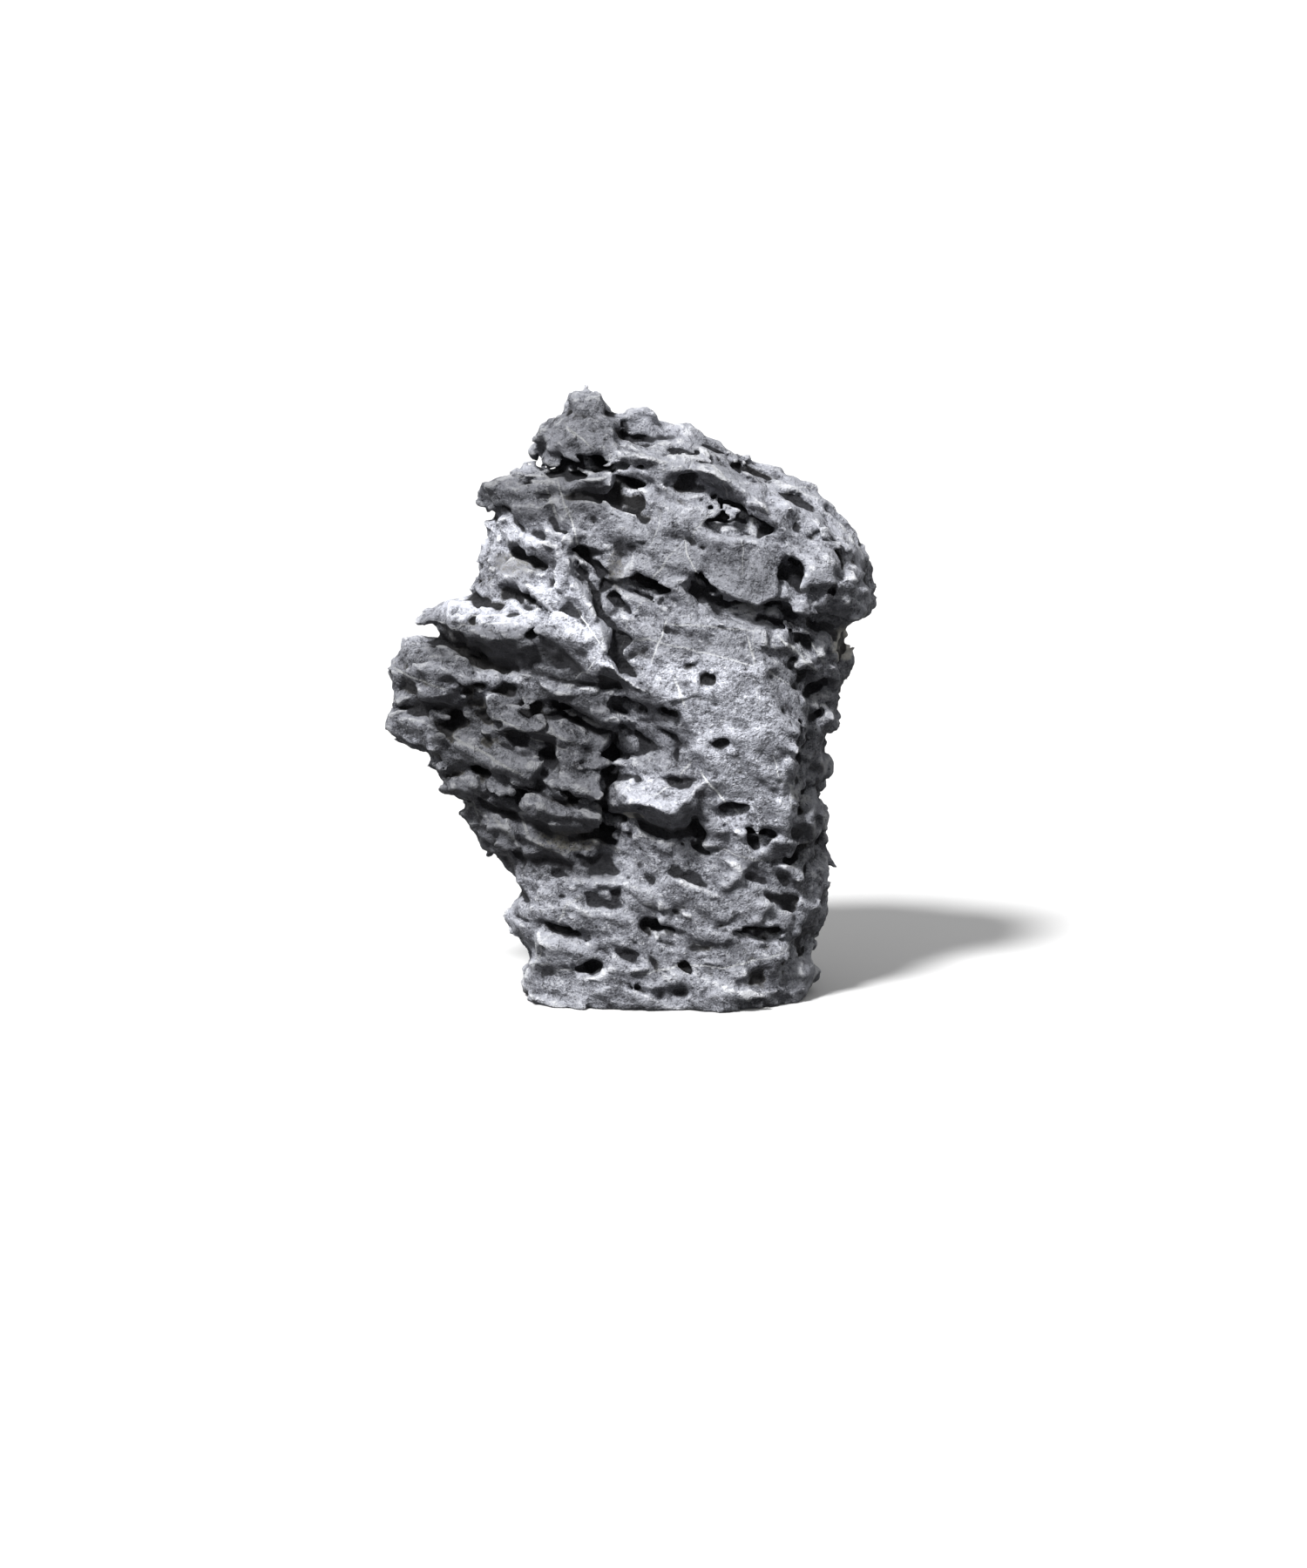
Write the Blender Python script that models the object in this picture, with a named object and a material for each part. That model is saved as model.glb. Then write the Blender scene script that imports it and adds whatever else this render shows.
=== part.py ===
"""Seiryu stone: one free-standing piece of weathered, veined limestone with ledges, lobes and deep pits.

Metres, +Z up. The origin is at the middle of the foot, on the surface that the stone rests on. The stone's
front looks along -Y. The forms are laid out in millimetres about the same axis and scaled once at the end.
"""

import math
import random

import bmesh
import bpy
import numpy as np
from mathutils import Matrix, Vector
from mathutils.geometry import delaunay_2d_cdt

# Driving dimensions of the finished stone, metres
STONE_WIDTH = 0.281
STONE_DEPTH = 0.168
STONE_HEIGHT = 0.350

MM = 0.001
UNION_VOXEL = 2.1 * MM
FINAL_VOXEL = 2.0 * MM
TRIANGLE_TARGET = 9000
FOOT_SNAP = 1.2 * MM

# Outline of the stone seen from the front: x and height in mm, once round
OUTLINE = (
    (-34, 342), (-32, 349), (-30, 352), (-22, 352), (-15, 351), (-12, 346), (-8, 342), (-3, 340),
    (-2, 342), (0, 344), (10, 343), (14, 339), (17, 333), (25, 331), (35, 330), (40, 327), (48, 325),
    (54, 323), (60, 317), (65, 312), (69, 314), (70, 316), (72, 310), (75, 307), (85, 303), (95, 300),
    (105, 296), (113, 289), (118, 283), (123, 278), (127, 273), (130, 268), (134, 262), (136, 254),
    (138, 247), (140, 240), (140, 234), (139, 230), (135, 224), (127, 220), (127, 214), (128, 210),
    (127, 203), (129, 198), (128, 191), (126, 183), (123, 175), (122, 165), (123, 159), (119, 153),
    (116, 143), (114, 133), (112, 128), (111, 120), (115, 115), (114, 107), (112, 103), (115, 99),
    (117, 94), (114, 86), (116, 79), (118, 71), (112, 59), (114, 45), (106, 31), (108, 15), (103, 1),
    (104, -29), (-58, -29), (-60, 7), (-56, 23), (-66, 35), (-70, 49), (-64, 61), (-72, 71), (-76, 81),
    (-79, 83), (-83, 88), (-86, 92), (-92, 94), (-94, 99), (-93, 105), (-92, 112), (-90, 115), (-97, 117),
    (-106, 119), (-110, 122), (-108, 125), (-110, 131), (-113, 137), (-115, 143), (-124, 141),
    (-132, 146), (-138, 150), (-141, 156), (-140, 161), (-138, 167), (-132, 173), (-135, 179),
    (-137, 184), (-137, 191), (-133, 201), (-127, 209), (-108, 210), (-112, 217), (-116, 218),
    (-119, 221), (-115, 225), (-108, 232), (-97, 234), (-87, 236), (-89, 240), (-88, 244), (-85, 254),
    (-82, 261), (-81, 265), (-78, 271), (-79, 275), (-76, 277), (-75, 281), (-81, 282), (-84, 285),
    (-85, 292), (-84, 296), (-82, 300), (-77, 302), (-70, 303), (-62, 305), (-52, 304), (-42, 305),
    (-38, 307), (-45, 310), (-50, 314), (-52, 319), (-52, 328), (-49, 335), (-41, 338),
)
RIM_OUT = 8
OVERLAP = 5

# Ridges, edges and valleys of the front, from left to right: x, height, and how far in front of the axis
# each point lies, in mm. The surface runs straight between them.
FRONT_LINES = {
    "brow_edge": ((-16, 314, 44), (-4, 318, 47), (9, 319, 50), (22, 316, 53), (38, 313, 56),
                  (51, 311, 58), (62, 307, 59), (73, 298, 61), (81, 286, 63), (85, 279, 64)),
    "brow_under": ((-8, 303, 42), (4, 301, 41), (17, 303, 48), (28, 300, 40), (38, 299, 42),
                   (51, 297, 50), (68, 292, 56)),
    "brow_floor": ((-8, 290, 50), (0, 292, 47), (11, 293, 49), (22, 295, 51), (32, 292, 55),
                   (46, 292, 56), (59, 293, 57), (71, 287, 57)),
    "top_band": ((-2, 327, 20), (15, 322, 26), (31, 320, 26), (48, 316, 30), (61, 308, 34), (77, 298, 40),
                 (94, 288, 44), (108, 279, 44)),
    "top_back": ((0, 337, 10), (18, 327, 10), (35, 326, 12), (52, 319, 12), (67, 310, 16), (87, 297, 16),
                 (106, 288, 16), (122, 274, 20)),
    "shoulder_edge": ((85, 278, 62), (95, 273, 60), (108, 270, 56), (120, 269, 44), (130, 262, 30)),
    "right_lobe_top": ((84, 265, 60), (93, 267, 64), (104, 263, 65), (113, 264, 62), (125, 260, 48),
                       (134, 250, 30)),
    "right_lobe_front": ((88, 247, 65), (101, 250, 68), (113, 249, 67), (127, 245, 51), (137, 238, 27)),
    "right_lobe_bottom": ((88, 239, 60), (99, 235, 61), (112, 230, 56), (124, 226, 42), (132, 226, 28)),
    "right_lobe_under": ((94, 228, 38), (105, 222, 36), (119, 216, 26), (126, 211, 14)),
    "boulder_top": ((38, 270, 55), (48, 269, 57), (62, 268, 58), (77, 268, 60), (84, 265, 60)),
    "boulder_face": ((40, 258, 59), (55, 256, 62), (70, 255, 65), (81, 255, 64)),
    "boulder_bottom": ((42, 252, 62), (51, 246, 66), (62, 241, 70), (73, 238, 71), (81, 242, 68)),
    "boulder_under": ((42, 242, 50), (51, 233, 44), (63, 232, 40), (76, 233, 41), (85, 234, 42)),
    "slab_top": ((-77, 303, 14), (-65, 305, 20), (-48, 307, 24), (-33, 307, 29), (-18, 309, 38)),
    "slab_front_top": ((-81, 299, 20), (-70, 302, 32), (-57, 302, 38), (-41, 303, 43), (-26, 305, 47),
                       (-12, 308, 51)),
    "slab_low": ((-80, 285, 18), (-70, 290, 32), (-61, 292, 38), (-48, 292, 41)),
    "slab_ridge": ((-41, 302, 41), (-37, 297, 46), (-33, 291, 50), (-27, 283, 52), (-26, 270, 53)),
    "slab_right_edge": ((-12, 308, 49), (-12, 301, 50), (-12, 290, 52), (-3, 286, 54), (0, 274, 56),
                        (4, 262, 58)),
    "slab_valley": ((-23, 298, 46), (-20, 288, 49), (-18, 277, 51), (-11, 266, 54)),
    "left_block_peak": ((-77, 276, 20), (-64, 284, 38), (-56, 290, 44)),
    "left_block_low": ((-80, 255, 17), (-70, 257, 33), (-59, 259, 42), (-48, 259, 47)),
    "small_ledge": ((-87, 241, 18), (-74, 246, 36), (-62, 247, 44)),
    "ledge_back": ((-107, 231, 14), (-91, 234, 24), (-76, 235, 34), (-63, 234, 42), (-46, 229, 52)),
    "ledge_front": ((-116, 222, 21), (-103, 219, 37), (-88, 218, 49), (-75, 215, 57), (-62, 217, 60),
                    (-49, 220, 62), (-38, 213, 67), (-25, 204, 72)),
    "ledge_under": ((-111, 209, 12), (-97, 206, 25), (-83, 201, 31), (-70, 196, 36), (-55, 192, 43),
                    (-41, 192, 48), (-24, 190, 54), (-6, 190, 62)),
    "spur_left": ((-60, 254, 48), (-54, 242, 53), (-44, 229, 59), (-36, 219, 66), (-25, 204, 72)),
    "spur_right": ((-33, 257, 58), (-25, 244, 64), (-16, 231, 70), (-10, 214, 76), (-4, 198, 79)),
    "spur_bottom": ((-25, 204, 72), (-14, 200, 76), (-4, 198, 79)),
    "spur_groove": ((-28, 259, 42), (-22, 247, 45), (-16, 234, 50), (-8, 222, 55), (-2, 208, 61),
                    (4, 198, 66)),
    "panel_middle": ((9, 278, 56), (22, 278, 57), (31, 270, 58), (38, 263, 59)),
    "panel_foot": ((-15, 255, 56), (-4, 250, 61), (11, 250, 64), (26, 249, 65), (38, 252, 62)),
    "panel_low": ((-14, 239, 56), (-4, 234, 60), (13, 231, 63), (28, 234, 64), (38, 235, 62),
                  (48, 233, 60)),
    "face_top": ((7, 224, 68), (22, 222, 70), (38, 224, 70), (51, 229, 66), (62, 228, 68), (75, 227, 69)),
    "face_right_edge": ((75, 227, 69), (76, 211, 72), (77, 195, 73), (84, 178, 74), (93, 163, 72),
                        (93, 148, 70), (91, 135, 68), (91, 119, 66), (89, 104, 62)),
    "face_crack": ((81, 221, 60), (82, 210, 61), (84, 198, 64)),
    "face_left": ((-4, 198, 79), (13, 188, 79), (29, 177, 80), (35, 169, 80), (42, 157, 79),
                  (48, 138, 76), (53, 123, 74)),
    "face_middle": ((22, 203, 75), (40, 194, 77), (59, 183, 78), (68, 164, 78), (72, 142, 75),
                    (72, 124, 71)),
    "recess_upper": ((-3, 184, 62), (11, 176, 65), (26, 169, 69)),
    "recess_deep": ((-6, 161, 47), (7, 158, 51), (18, 154, 56), (31, 149, 65)),
    "recess_low": ((-9, 146, 47), (2, 144, 54), (15, 143, 62), (28, 140, 68)),
    "tongue_one_top": ((-40, 184, 54), (-24, 189, 60), (-7, 187, 66)),
    "tongue_one_edge": ((-38, 180, 58), (-26, 175, 61), (-15, 171, 66), (-6, 172, 68)),
    "tongue_one_under": ((-35, 168, 40), (-27, 165, 42)),
    "lobe_top": ((-126, 208, 14), (-113, 208, 26), (-100, 206, 34), (-87, 200, 38)),
    "lobe_front": ((-134, 190, 16), (-120, 196, 33), (-107, 197, 41), (-92, 193, 45), (-79, 187, 46)),
    "lobe_bottom": ((-132, 175, 16), (-117, 180, 32), (-102, 182, 41), (-89, 182, 43)),
    "lobe_under": ((-129, 170, 10), (-112, 171, 20), (-97, 172, 27), (-80, 176, 32)),
    "small_lobe": ((-137, 159, 14), (-127, 165, 27), (-115, 165, 35), (-108, 161, 34)),
    "small_lobe_low": ((-133, 150, 14), (-121, 152, 26), (-112, 152, 28)),
    "strata_one_top": ((-76, 174, 43), (-61, 172, 48), (-46, 169, 52), (-32, 166, 54)),
    "strata_one_edge": ((-74, 167, 49), (-57, 163, 54), (-40, 159, 58), (-29, 154, 59)),
    "strata_one_under": ((-72, 159, 40), (-56, 154, 44), (-41, 151, 48)),
    "strata_two_edge": ((-106, 149, 30), (-89, 146, 44), (-74, 142, 51), (-59, 139, 56), (-41, 134, 60),
                        (-26, 130, 63), (-15, 126, 64)),
    "strata_two_under": ((-108, 139, 21), (-91, 136, 33), (-76, 133, 40), (-59, 129, 46), (-41, 124, 50),
                         (-26, 120, 52), (-16, 117, 52)),
    "strata_three_edge": ((-108, 125, 22), (-95, 123, 35), (-80, 124, 44), (-65, 124, 50), (-48, 120, 56),
                          (-31, 115, 60), (-16, 113, 63)),
    "strata_three_under": ((-92, 111, 16), (-78, 112, 28), (-61, 108, 36), (-45, 103, 42), (-30, 99, 47),
                           (-16, 96, 49)),
    "heel": ((-93, 103, 16), (-82, 103, 30), (-71, 103, 38), (-56, 98, 45), (-41, 95, 48)),
    "heel_low": ((-77, 84, 18), (-66, 85, 29), (-49, 84, 37), (-30, 81, 41), (-15, 79, 43)),
    "boss_top": ((2, 137, 60), (15, 137, 62), (29, 135, 64)),
    "boss_edge": ((-1, 131, 72), (5, 124, 82), (17, 123, 85), (26, 120, 86), (32, 127, 82)),
    "boss_under": ((2, 110, 56), (15, 105, 59), (28, 101, 61), (38, 107, 58)),
    "boss_low": ((-4, 96, 51), (13, 93, 57), (30, 90, 59), (43, 93, 55)),
    "dark_groove": ((-11, 135, 45), (-15, 123, 44), (-12, 111, 43), (-15, 99, 43), (-8, 88, 46)),
    "low_face": ((42, 123, 73), (52, 109, 70), (65, 101, 66), (77, 96, 63), (89, 94, 60)),
    "strip_inner": ((88, 219, 60), (90, 204, 60), (93, 189, 60), (100, 170, 56), (102, 153, 52),
                    (100, 134, 52), (101, 115, 50), (102, 95, 46)),
    "strip_middle": ((101, 219, 46), (104, 206, 48), (101, 191, 46), (111, 178, 38), (110, 161, 36)),
    "strip_outer": ((115, 213, 36), (117, 200, 32), (120, 186, 28), (117, 167, 28), (113, 152, 26),
                    (109, 133, 28), (110, 114, 28), (112, 95, 26)),
    "tongue_chip": ((-27, 163, 50), (-15, 162, 57), (-10, 158, 58), (-12, 153, 56), (-17, 148, 52)),
    "strata_two_top": ((-83, 155, 41), (-67, 150, 47), (-48, 146, 52), (-29, 143, 56), (-14, 137, 60)),
    "strata_three_low": ((-67, 114, 44), (-48, 112, 51), (-31, 109, 57), (-16, 107, 61)),
    "recess_middle": ((-6, 173, 52), (7, 168, 56), (20, 163, 60), (31, 158, 66)),
    "lobe_crown": ((-48, 332, 20), (-33, 338, 26), (-18, 339, 26), (-6, 335, 26)),
    "lobe_face": ((-46, 323, 30), (-33, 329, 37), (-22, 331, 38), (-7, 326, 38)),
    "lobe_foot": ((-43, 315, 30), (-33, 314, 38), (-22, 315, 43), (-16, 315, 43)),
    "left_block_ridge": ((-56, 290, 44), (-47, 291, 46), (-42, 279, 51), (-32, 272, 54), (-33, 257, 57)),
    "foot_crest": ((-64, 70, 34), (-42, 74, 46), (-18, 72, 52), (20, 70, 63), (60, 80, 64), (96, 76, 48)),
    "foot_one": ((-56, 60, 40), (-34, 58, 50), (-14, 66, 52), (2, 56, 58), (28, 60, 60), (46, 68, 66),
                 (80, 58, 60), (108, 60, 34)),
    "foot_two": ((-60, 40, 34), (-42, 46, 50), (-20, 38, 56), (6, 44, 62), (24, 36, 58), (52, 42, 68),
                 (74, 34, 60), (96, 46, 46)),
    "foot_three": ((-52, 26, 38), (-30, 18, 54), (-6, 26, 56), (14, 14, 66), (36, 22, 60), (60, 16, 66),
                   (86, 24, 52), (102, 14, 36)),
    "foot_four": ((-54, 4, 40), (-24, -2, 58), (10, -4, 64), (30, 4, 60), (52, -6, 68), (78, 2, 58),
                  (98, -4, 38)),
    "foot_five": ((-54, -24, 40), (-22, -24, 60), (10, -24, 66), (50, -24, 68), (80, -24, 58),
                  (98, -24, 38)),
}

# The same for the back: x, height, and how far behind the axis
BACK_LINES = {
    "crown": ((-34, 338, 12), (-8, 334, 20), (20, 326, 24), (54, 308, 26), (86, 292, 26), (112, 276, 24)),
    "crown_edge": ((-42, 318, 18), (-12, 312, 36), (22, 298, 50), (60, 284, 54), (94, 262, 50),
                   (122, 246, 34)),
    "shoulder": ((-66, 292, 20), (-44, 286, 44), (-16, 276, 62), (20, 262, 74), (54, 254, 72),
                 (88, 236, 66), (112, 214, 44)),
    "upper_face": ((-72, 262, 30), (-50, 248, 56), (-20, 240, 76), (14, 232, 84), (50, 218, 80),
                   (84, 206, 68), (110, 186, 40)),
    "middle_face": ((-104, 218, 26), (-80, 212, 52), (-46, 206, 70), (-8, 196, 84), (30, 186, 84),
                    (66, 172, 74), (100, 158, 48)),
    "lobe_back": ((-128, 190, 14), (-112, 178, 34), (-84, 174, 52), (-50, 170, 70), (-12, 158, 80),
                  (28, 148, 84), (64, 136, 74), (96, 124, 50)),
    "low_face": ((-130, 158, 12), (-106, 152, 32), (-78, 142, 50), (-42, 132, 66), (-4, 124, 78),
                 (34, 112, 78), (70, 100, 68), (102, 94, 38)),
    "heel": ((-92, 116, 18), (-66, 108, 42), (-32, 100, 62), (4, 88, 74), (40, 76, 76), (76, 66, 62),
             (104, 62, 34)),
    "foot": ((-62, 70, 28), (-36, 62, 50), (-2, 50, 66), (34, 40, 72), (70, 30, 60), (100, 26, 36)),
    "base": ((-52, 20, 30), (-20, 12, 54), (14, 4, 66), (50, 0, 68), (84, -4, 52)),
    "underside": ((-50, -24, 30), (-16, -24, 56), (18, -24, 66), (54, -24, 66), (86, -24, 50)),
}

# Hollows, pits and slits, mm: facing azimuth, centre (along, out, height), half sizes, roll in degrees
HOLLOWS = {
    "under_top_lobe": (0, (-20, 40, 313), (22, 20, 2.8), 5),
    "brow_hollow_left": (0, (-2, 46, 298), (11, 16, 6), -5),
    "brow_pit": (0, (21, 51, 300), (3, 8, 2.8), 0),
    "brow_hollow_right": (0, (33, 50, 300), (8, 12, 6.5), -20),
    "brow_slit": (0, (62, 56, 281), (20, 24, 6), -3),
    "panel_pit": (0, (7, 58, 281), (4, 9, 4.2), 0),
    "panel_small_pit": (0, (9, 60, 267), (3.2, 6, 2.6), 0),
    "middle_slit": (0, (10, 62, 246), (13, 20, 4.2), -10),
    "middle_slit_low": (0, (20, 66, 237), (9, 9, 2.4), -4),
    "boulder_groove": (0, (46, 60, 246), (10, 16, 2.8), -42),
    "under_boulder": (0, (68, 58, 231), (18, 24, 5.5), -4),
    "under_right_lobe": (0, (113, 44, 225), (14, 22, 5.5), -20),
    "lobe_hollow": (0, (93, 62, 249), (5, 12, 9), 0),
    "lobe_crevice": (0, (86, 64, 250), (2.6, 10, 9), -10),
    "shoulder_pit": (0, (100, 60, 278), (6, 7, 2.8), -8),
    "face_slit": (0, (35, 76, 204), (4, 6, 1.6), 5),
    "face_pit": (0, (46, 78, 193), (6, 9, 4.4), 8),
    "face_dimple": (0, (64, 79, 190), (8, 4, 3.4), -20),
    "face_cluster": (0, (54, 78, 157), (5, 8, 3.6), -25),
    "crack_right_of_face": (0, (80, 68, 214), (1.8, 10, 9), -3),
    "spur_pit": (0, (-26, 54, 259), (3, 12, 5), 10),
    "spur_groove": (0, (-17, 58, 245), (3.2, 12, 6.4), 25),
    "spur_hollow": (0, (-7, 62, 230), (8.5, 13, 3.2), -4),
    "spur_hollow_low": (0, (-3, 68, 214), (5, 10, 3.8), -40),
    "recess_pit_one": (0, (3, 62, 177), (9, 14, 5.5), -10),
    "recess_pit_two": (0, (22, 72, 175), (7, 10, 4), -20),
    "recess_pit_three": (0, (9, 60, 153), (9, 12, 4.4), -10),
    "under_tongue": (0, (-18, 52, 166), (13, 15, 4), -12),
    "under_tongue_left": (0, (-35, 50, 171), (8, 13, 2.8), -15),
    "tongue_hole": (0, (-44, 53, 142), (5.5, 13, 3.6), 0),
    "tongue_slit": (0, (-29, 56, 126), (8, 13, 3), -8),
    "low_left_slit": (0, (-65, 46, 118), (14, 18, 5.5), -14),
    "low_left_hole": (0, (-83, 38, 133), (4.5, 14, 7), 8),
    "lobe_gap": (0, (-98, 32, 159), (9, 16, 5.5), 35),
    "lobe_slit": (0, (-85, 44, 184), (7.5, 13, 2.8), 5),
    "ledge_gap": (0, (-67, 46, 182), (5.5, 11, 3.4), -25),
    "tongue_gap": (0, (-78, 44, 164), (8, 13, 3), -5),
    "tongue_pit": (0, (-55, 48, 170), (5, 9, 2.6), 0),
    "strata_dent": (0, (-62, 48, 152), (9, 9, 3), -25),
    "under_ledge_slit": (0, (-85, 38, 197), (6, 11, 2.8), -35),
    "under_ledge_pit": (0, (-52, 54, 218), (4.5, 9, 3), 0),
    "left_cavity": (0, (-63, 46, 255), (16, 18, 5), -3),
    "left_slot": (0, (-64, 46, 238), (19, 15, 2.6), -17),
    "left_notch": (0, (-70, 32, 283), (6, 15, 3), 0),
    "boss_hole": (0, (7, 76, 117), (3, 9, 3.4), 0),
    "groove_upper": (0, (-12, 47, 139), (3.6, 13, 5), 0),
    "groove_middle": (0, (-8, 50, 109), (8, 14, 3.2), -15),
    "groove_low": (0, (-11, 49, 93), (3.4, 13, 5.5), 25),
    "lump_pit": (0, (2, 62, 99), (2.8, 9, 2.6), 0),
    "foot_hole_left": (0, (43, 66, 102), (7, 15, 6.5), 0),
    "foot_hole_right": (0, (73, 62, 103), (8, 17, 6), 0),
    "foot_hole_upper": (0, (62, 70, 118), (9, 13, 5.5), 12),
    "strip_slit": (0, (94, 60, 202), (6, 10, 2.8), 10),
    "strip_hole": (0, (100, 56, 188), (5, 15, 6), 0),
    "strip_scoop": (0, (110, 40, 180), (10, 14, 8), 15),
    "strip_pit": (0, (109, 38, 167), (5, 12, 3.2), 0),
    "strip_groove": (0, (93, 62, 161), (3, 10, 5.4), 5),
    "strip_low_hollow": (0, (100, 50, 119), (9, 15, 6), 0),
    "strip_low_slit": (0, (98, 48, 88), (9, 13, 6), 0),
    "strip_foot_pit": (0, (112, 24, 87), (3.4, 11, 5), 0),
    "foot_slit_left": (0, (-38, 50, 44), (14, 16, 3.4), -16),
    "foot_slit_middle": (0, (18, 62, 46), (12, 16, 3.6), -12),
    "foot_pit": (0, (-8, 60, 60), (5, 12, 4), 0),
    "foot_slit_right": (0, (74, 60, 44), (15, 18, 4), -14),
    "foot_pit_right": (0, (90, 52, 24), (5, 12, 4.4), 0),
    "foot_pit_left": (0, (-22, 56, 20), (6, 12, 3.4), -10),
    "recess_pit_four": (0, (22, 66, 161), (6, 9, 3.2), -15),
    "strip_middle_scoop": (0, (101, 50, 150), (8, 14, 8), 10),
    "strip_upper_scoop": (0, (104, 54, 206), (7, 12, 5), -15),
    "shoulder_hollow": (0, (118, 44, 262), (6, 9, 3.4), -10),
    "back_slit": (178, (-8, 78, 236), (32, 24, 4.4), 14),
    "back_hollow": (186, (20, 82, 186), (13, 22, 8), 20),
    "back_cavity": (172, (-52, 74, 222), (18, 22, 5.4), 18),
    "back_pit": (180, (-40, 80, 166), (8, 16, 6), 10),
    "back_low_slit": (184, (30, 72, 108), (24, 20, 4.6), 16),
    "back_groove": (180, (6, 80, 140), (5, 16, 14), -18),
    "back_crown_pit": (178, (-40, 46, 284), (12, 18, 4.4), 18),
    "back_side_slit": (190, (76, 52, 206), (18, 24, 4.4), 18),
    "back_side_pit": (188, (64, 50, 150), (9, 18, 5), 14),
    "back_foot_slit": (178, (-44, 64, 44), (22, 20, 4.4), 14),
    "back_heel_pit": (184, (20, 70, 50), (8, 16, 6), 10),
}
HOLLOW_SUBDIVISIONS = 2
# A hollow climbs as it goes in: by this share of its half height over its half depth, up to the most
HOLLOW_CLIMB = 1.5
MOST_CLIMB = 0.6

# Plates that stand a little proud of the back, where the stone's bedding breaks out, mm and degrees
PLATE_COUNT = 46
PLATE_SEED = 7
PLATE_SIDES = 6
PLATE_TURN = 0.25
PLATE_LEAN = 0.25
PLATE_X = (-112, 112)
PLATE_HEIGHTS = (12, 318)
PLATE_LENGTH = (14, 34)
PLATE_THICKNESS = (6, 13)
PLATE_PROUD = (1, 6)
PLATE_DEPTH = 30
LEAST_REACH = 40
PLATE_MARGIN = 1.06
TURN_PER_MM = 0.36
BEDDING_DIP = 20

# Weathering of the surface: depth of the relief and size of its swells
SWELL_DEPTH = 3.2 * MM
SWELL_SIZE = 15 * MM
SCALLOP_DEPTH = 3.0 * MM
SCALLOP_SIZE = 12 * MM


def clear_scene():
    for item in list(bpy.data.objects):
        bpy.data.objects.remove(item, do_unlink=True)


def stone_material():
    material = bpy.data.materials.new("blue_grey_limestone")
    material.use_nodes = True
    shader = material.node_tree.nodes["Principled BSDF"]
    shader.inputs["Base Color"].default_value = (0.24, 0.25, 0.28, 1.0)
    shader.inputs["Roughness"].default_value = 0.85
    shader.inputs["Metallic"].default_value = 0.0
    return material


def facing(azimuth):
    """Turns (along, out, height) in mm, for a face that looks to the azimuth, into the stone's frame."""
    return Matrix.Rotation(math.radians(azimuth), 4, "Z") @ Matrix.Diagonal((MM, -MM, MM, 1.0))


def relief_triangles(lines):
    """Joins the points of the lines and of the outline into triangles that keep each line as edges.

    Gives the points as (x, height, out) and the triangles inside the outline as three point numbers.
    """
    points, edges = [], []
    numbers = {}
    ring = [(x, height, RIM_OUT) for x, height in OUTLINE]
    for line in list(lines.values()) + [ring]:
        here = []
        for x, height, out in line:
            if (x, height) not in numbers:
                numbers[(x, height)] = len(points)
                points.append((x, height, out))
            here.append(numbers[(x, height)])
        edges += zip(here, here[1:])
    flat = [Vector((x, height)) for x, height, _ in points]
    placed, _, triangles, sources, _, _ = delaunay_2d_cdt(flat, edges, [here], 1, 1e-4)
    known = np.array(points, dtype=float)
    joined = []
    for place, source in zip(placed, sources):
        if source:
            out = points[source[0]][2]
        else:
            gaps = np.hypot(known[:, 0] - place.x, known[:, 1] - place.y)
            out = known[gaps.argmin(), 2]
        joined.append((place.x, place.y, out))
    return joined, triangles


def add_half(bm, lines, side):
    """Adds the front half (side 1) or the back half (side -1) as a closed body that overlaps the other."""
    points, triangles = relief_triangles(lines)
    face = [bm.verts.new(Vector((x, -side * out, height)) * MM) for x, height, out in points]
    rear = [bm.verts.new(Vector((x, side * OVERLAP, height)) * MM) for x, height, _ in points]
    uses = {}
    for triangle in triangles:
        bm.faces.new([face[i] for i in triangle])
        bm.faces.new([rear[i] for i in reversed(triangle)])
        for start, end in zip(triangle, triangle[1:] + triangle[:1]):
            key = (min(start, end), max(start, end))
            uses[key] = uses.get(key, 0) + 1
    for (start, end), count in uses.items():
        if count == 1:
            bm.faces.new((face[start], face[end], rear[end], rear[start]))
    spare = [vert for vert in face + rear if not vert.link_faces]
    bmesh.ops.delete(bm, geom=spare, context="VERTS")


def back_reach(x, height):
    """How far behind the axis the back lies, in mm, from the three given points nearest to the place."""
    points = np.array([point for line in BACK_LINES.values() for point in line], dtype=float)
    gaps = np.hypot(points[:, 0] - x, points[:, 1] - height)
    near = gaps.argsort()[:3]
    weights = 1 / (gaps[near] + 1)
    return float((points[near, 2] * weights).sum() / weights.sum())


def inside_outline(x, height):
    inside = False
    for (x1, z1), (x2, z2) in zip(OUTLINE, OUTLINE[1:] + OUTLINE[:1]):
        if (z1 > height) != (z2 > height) and x < (x2 - x1) * (height - z1) / (z2 - z1) + x1:
            inside = not inside
    return inside


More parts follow.
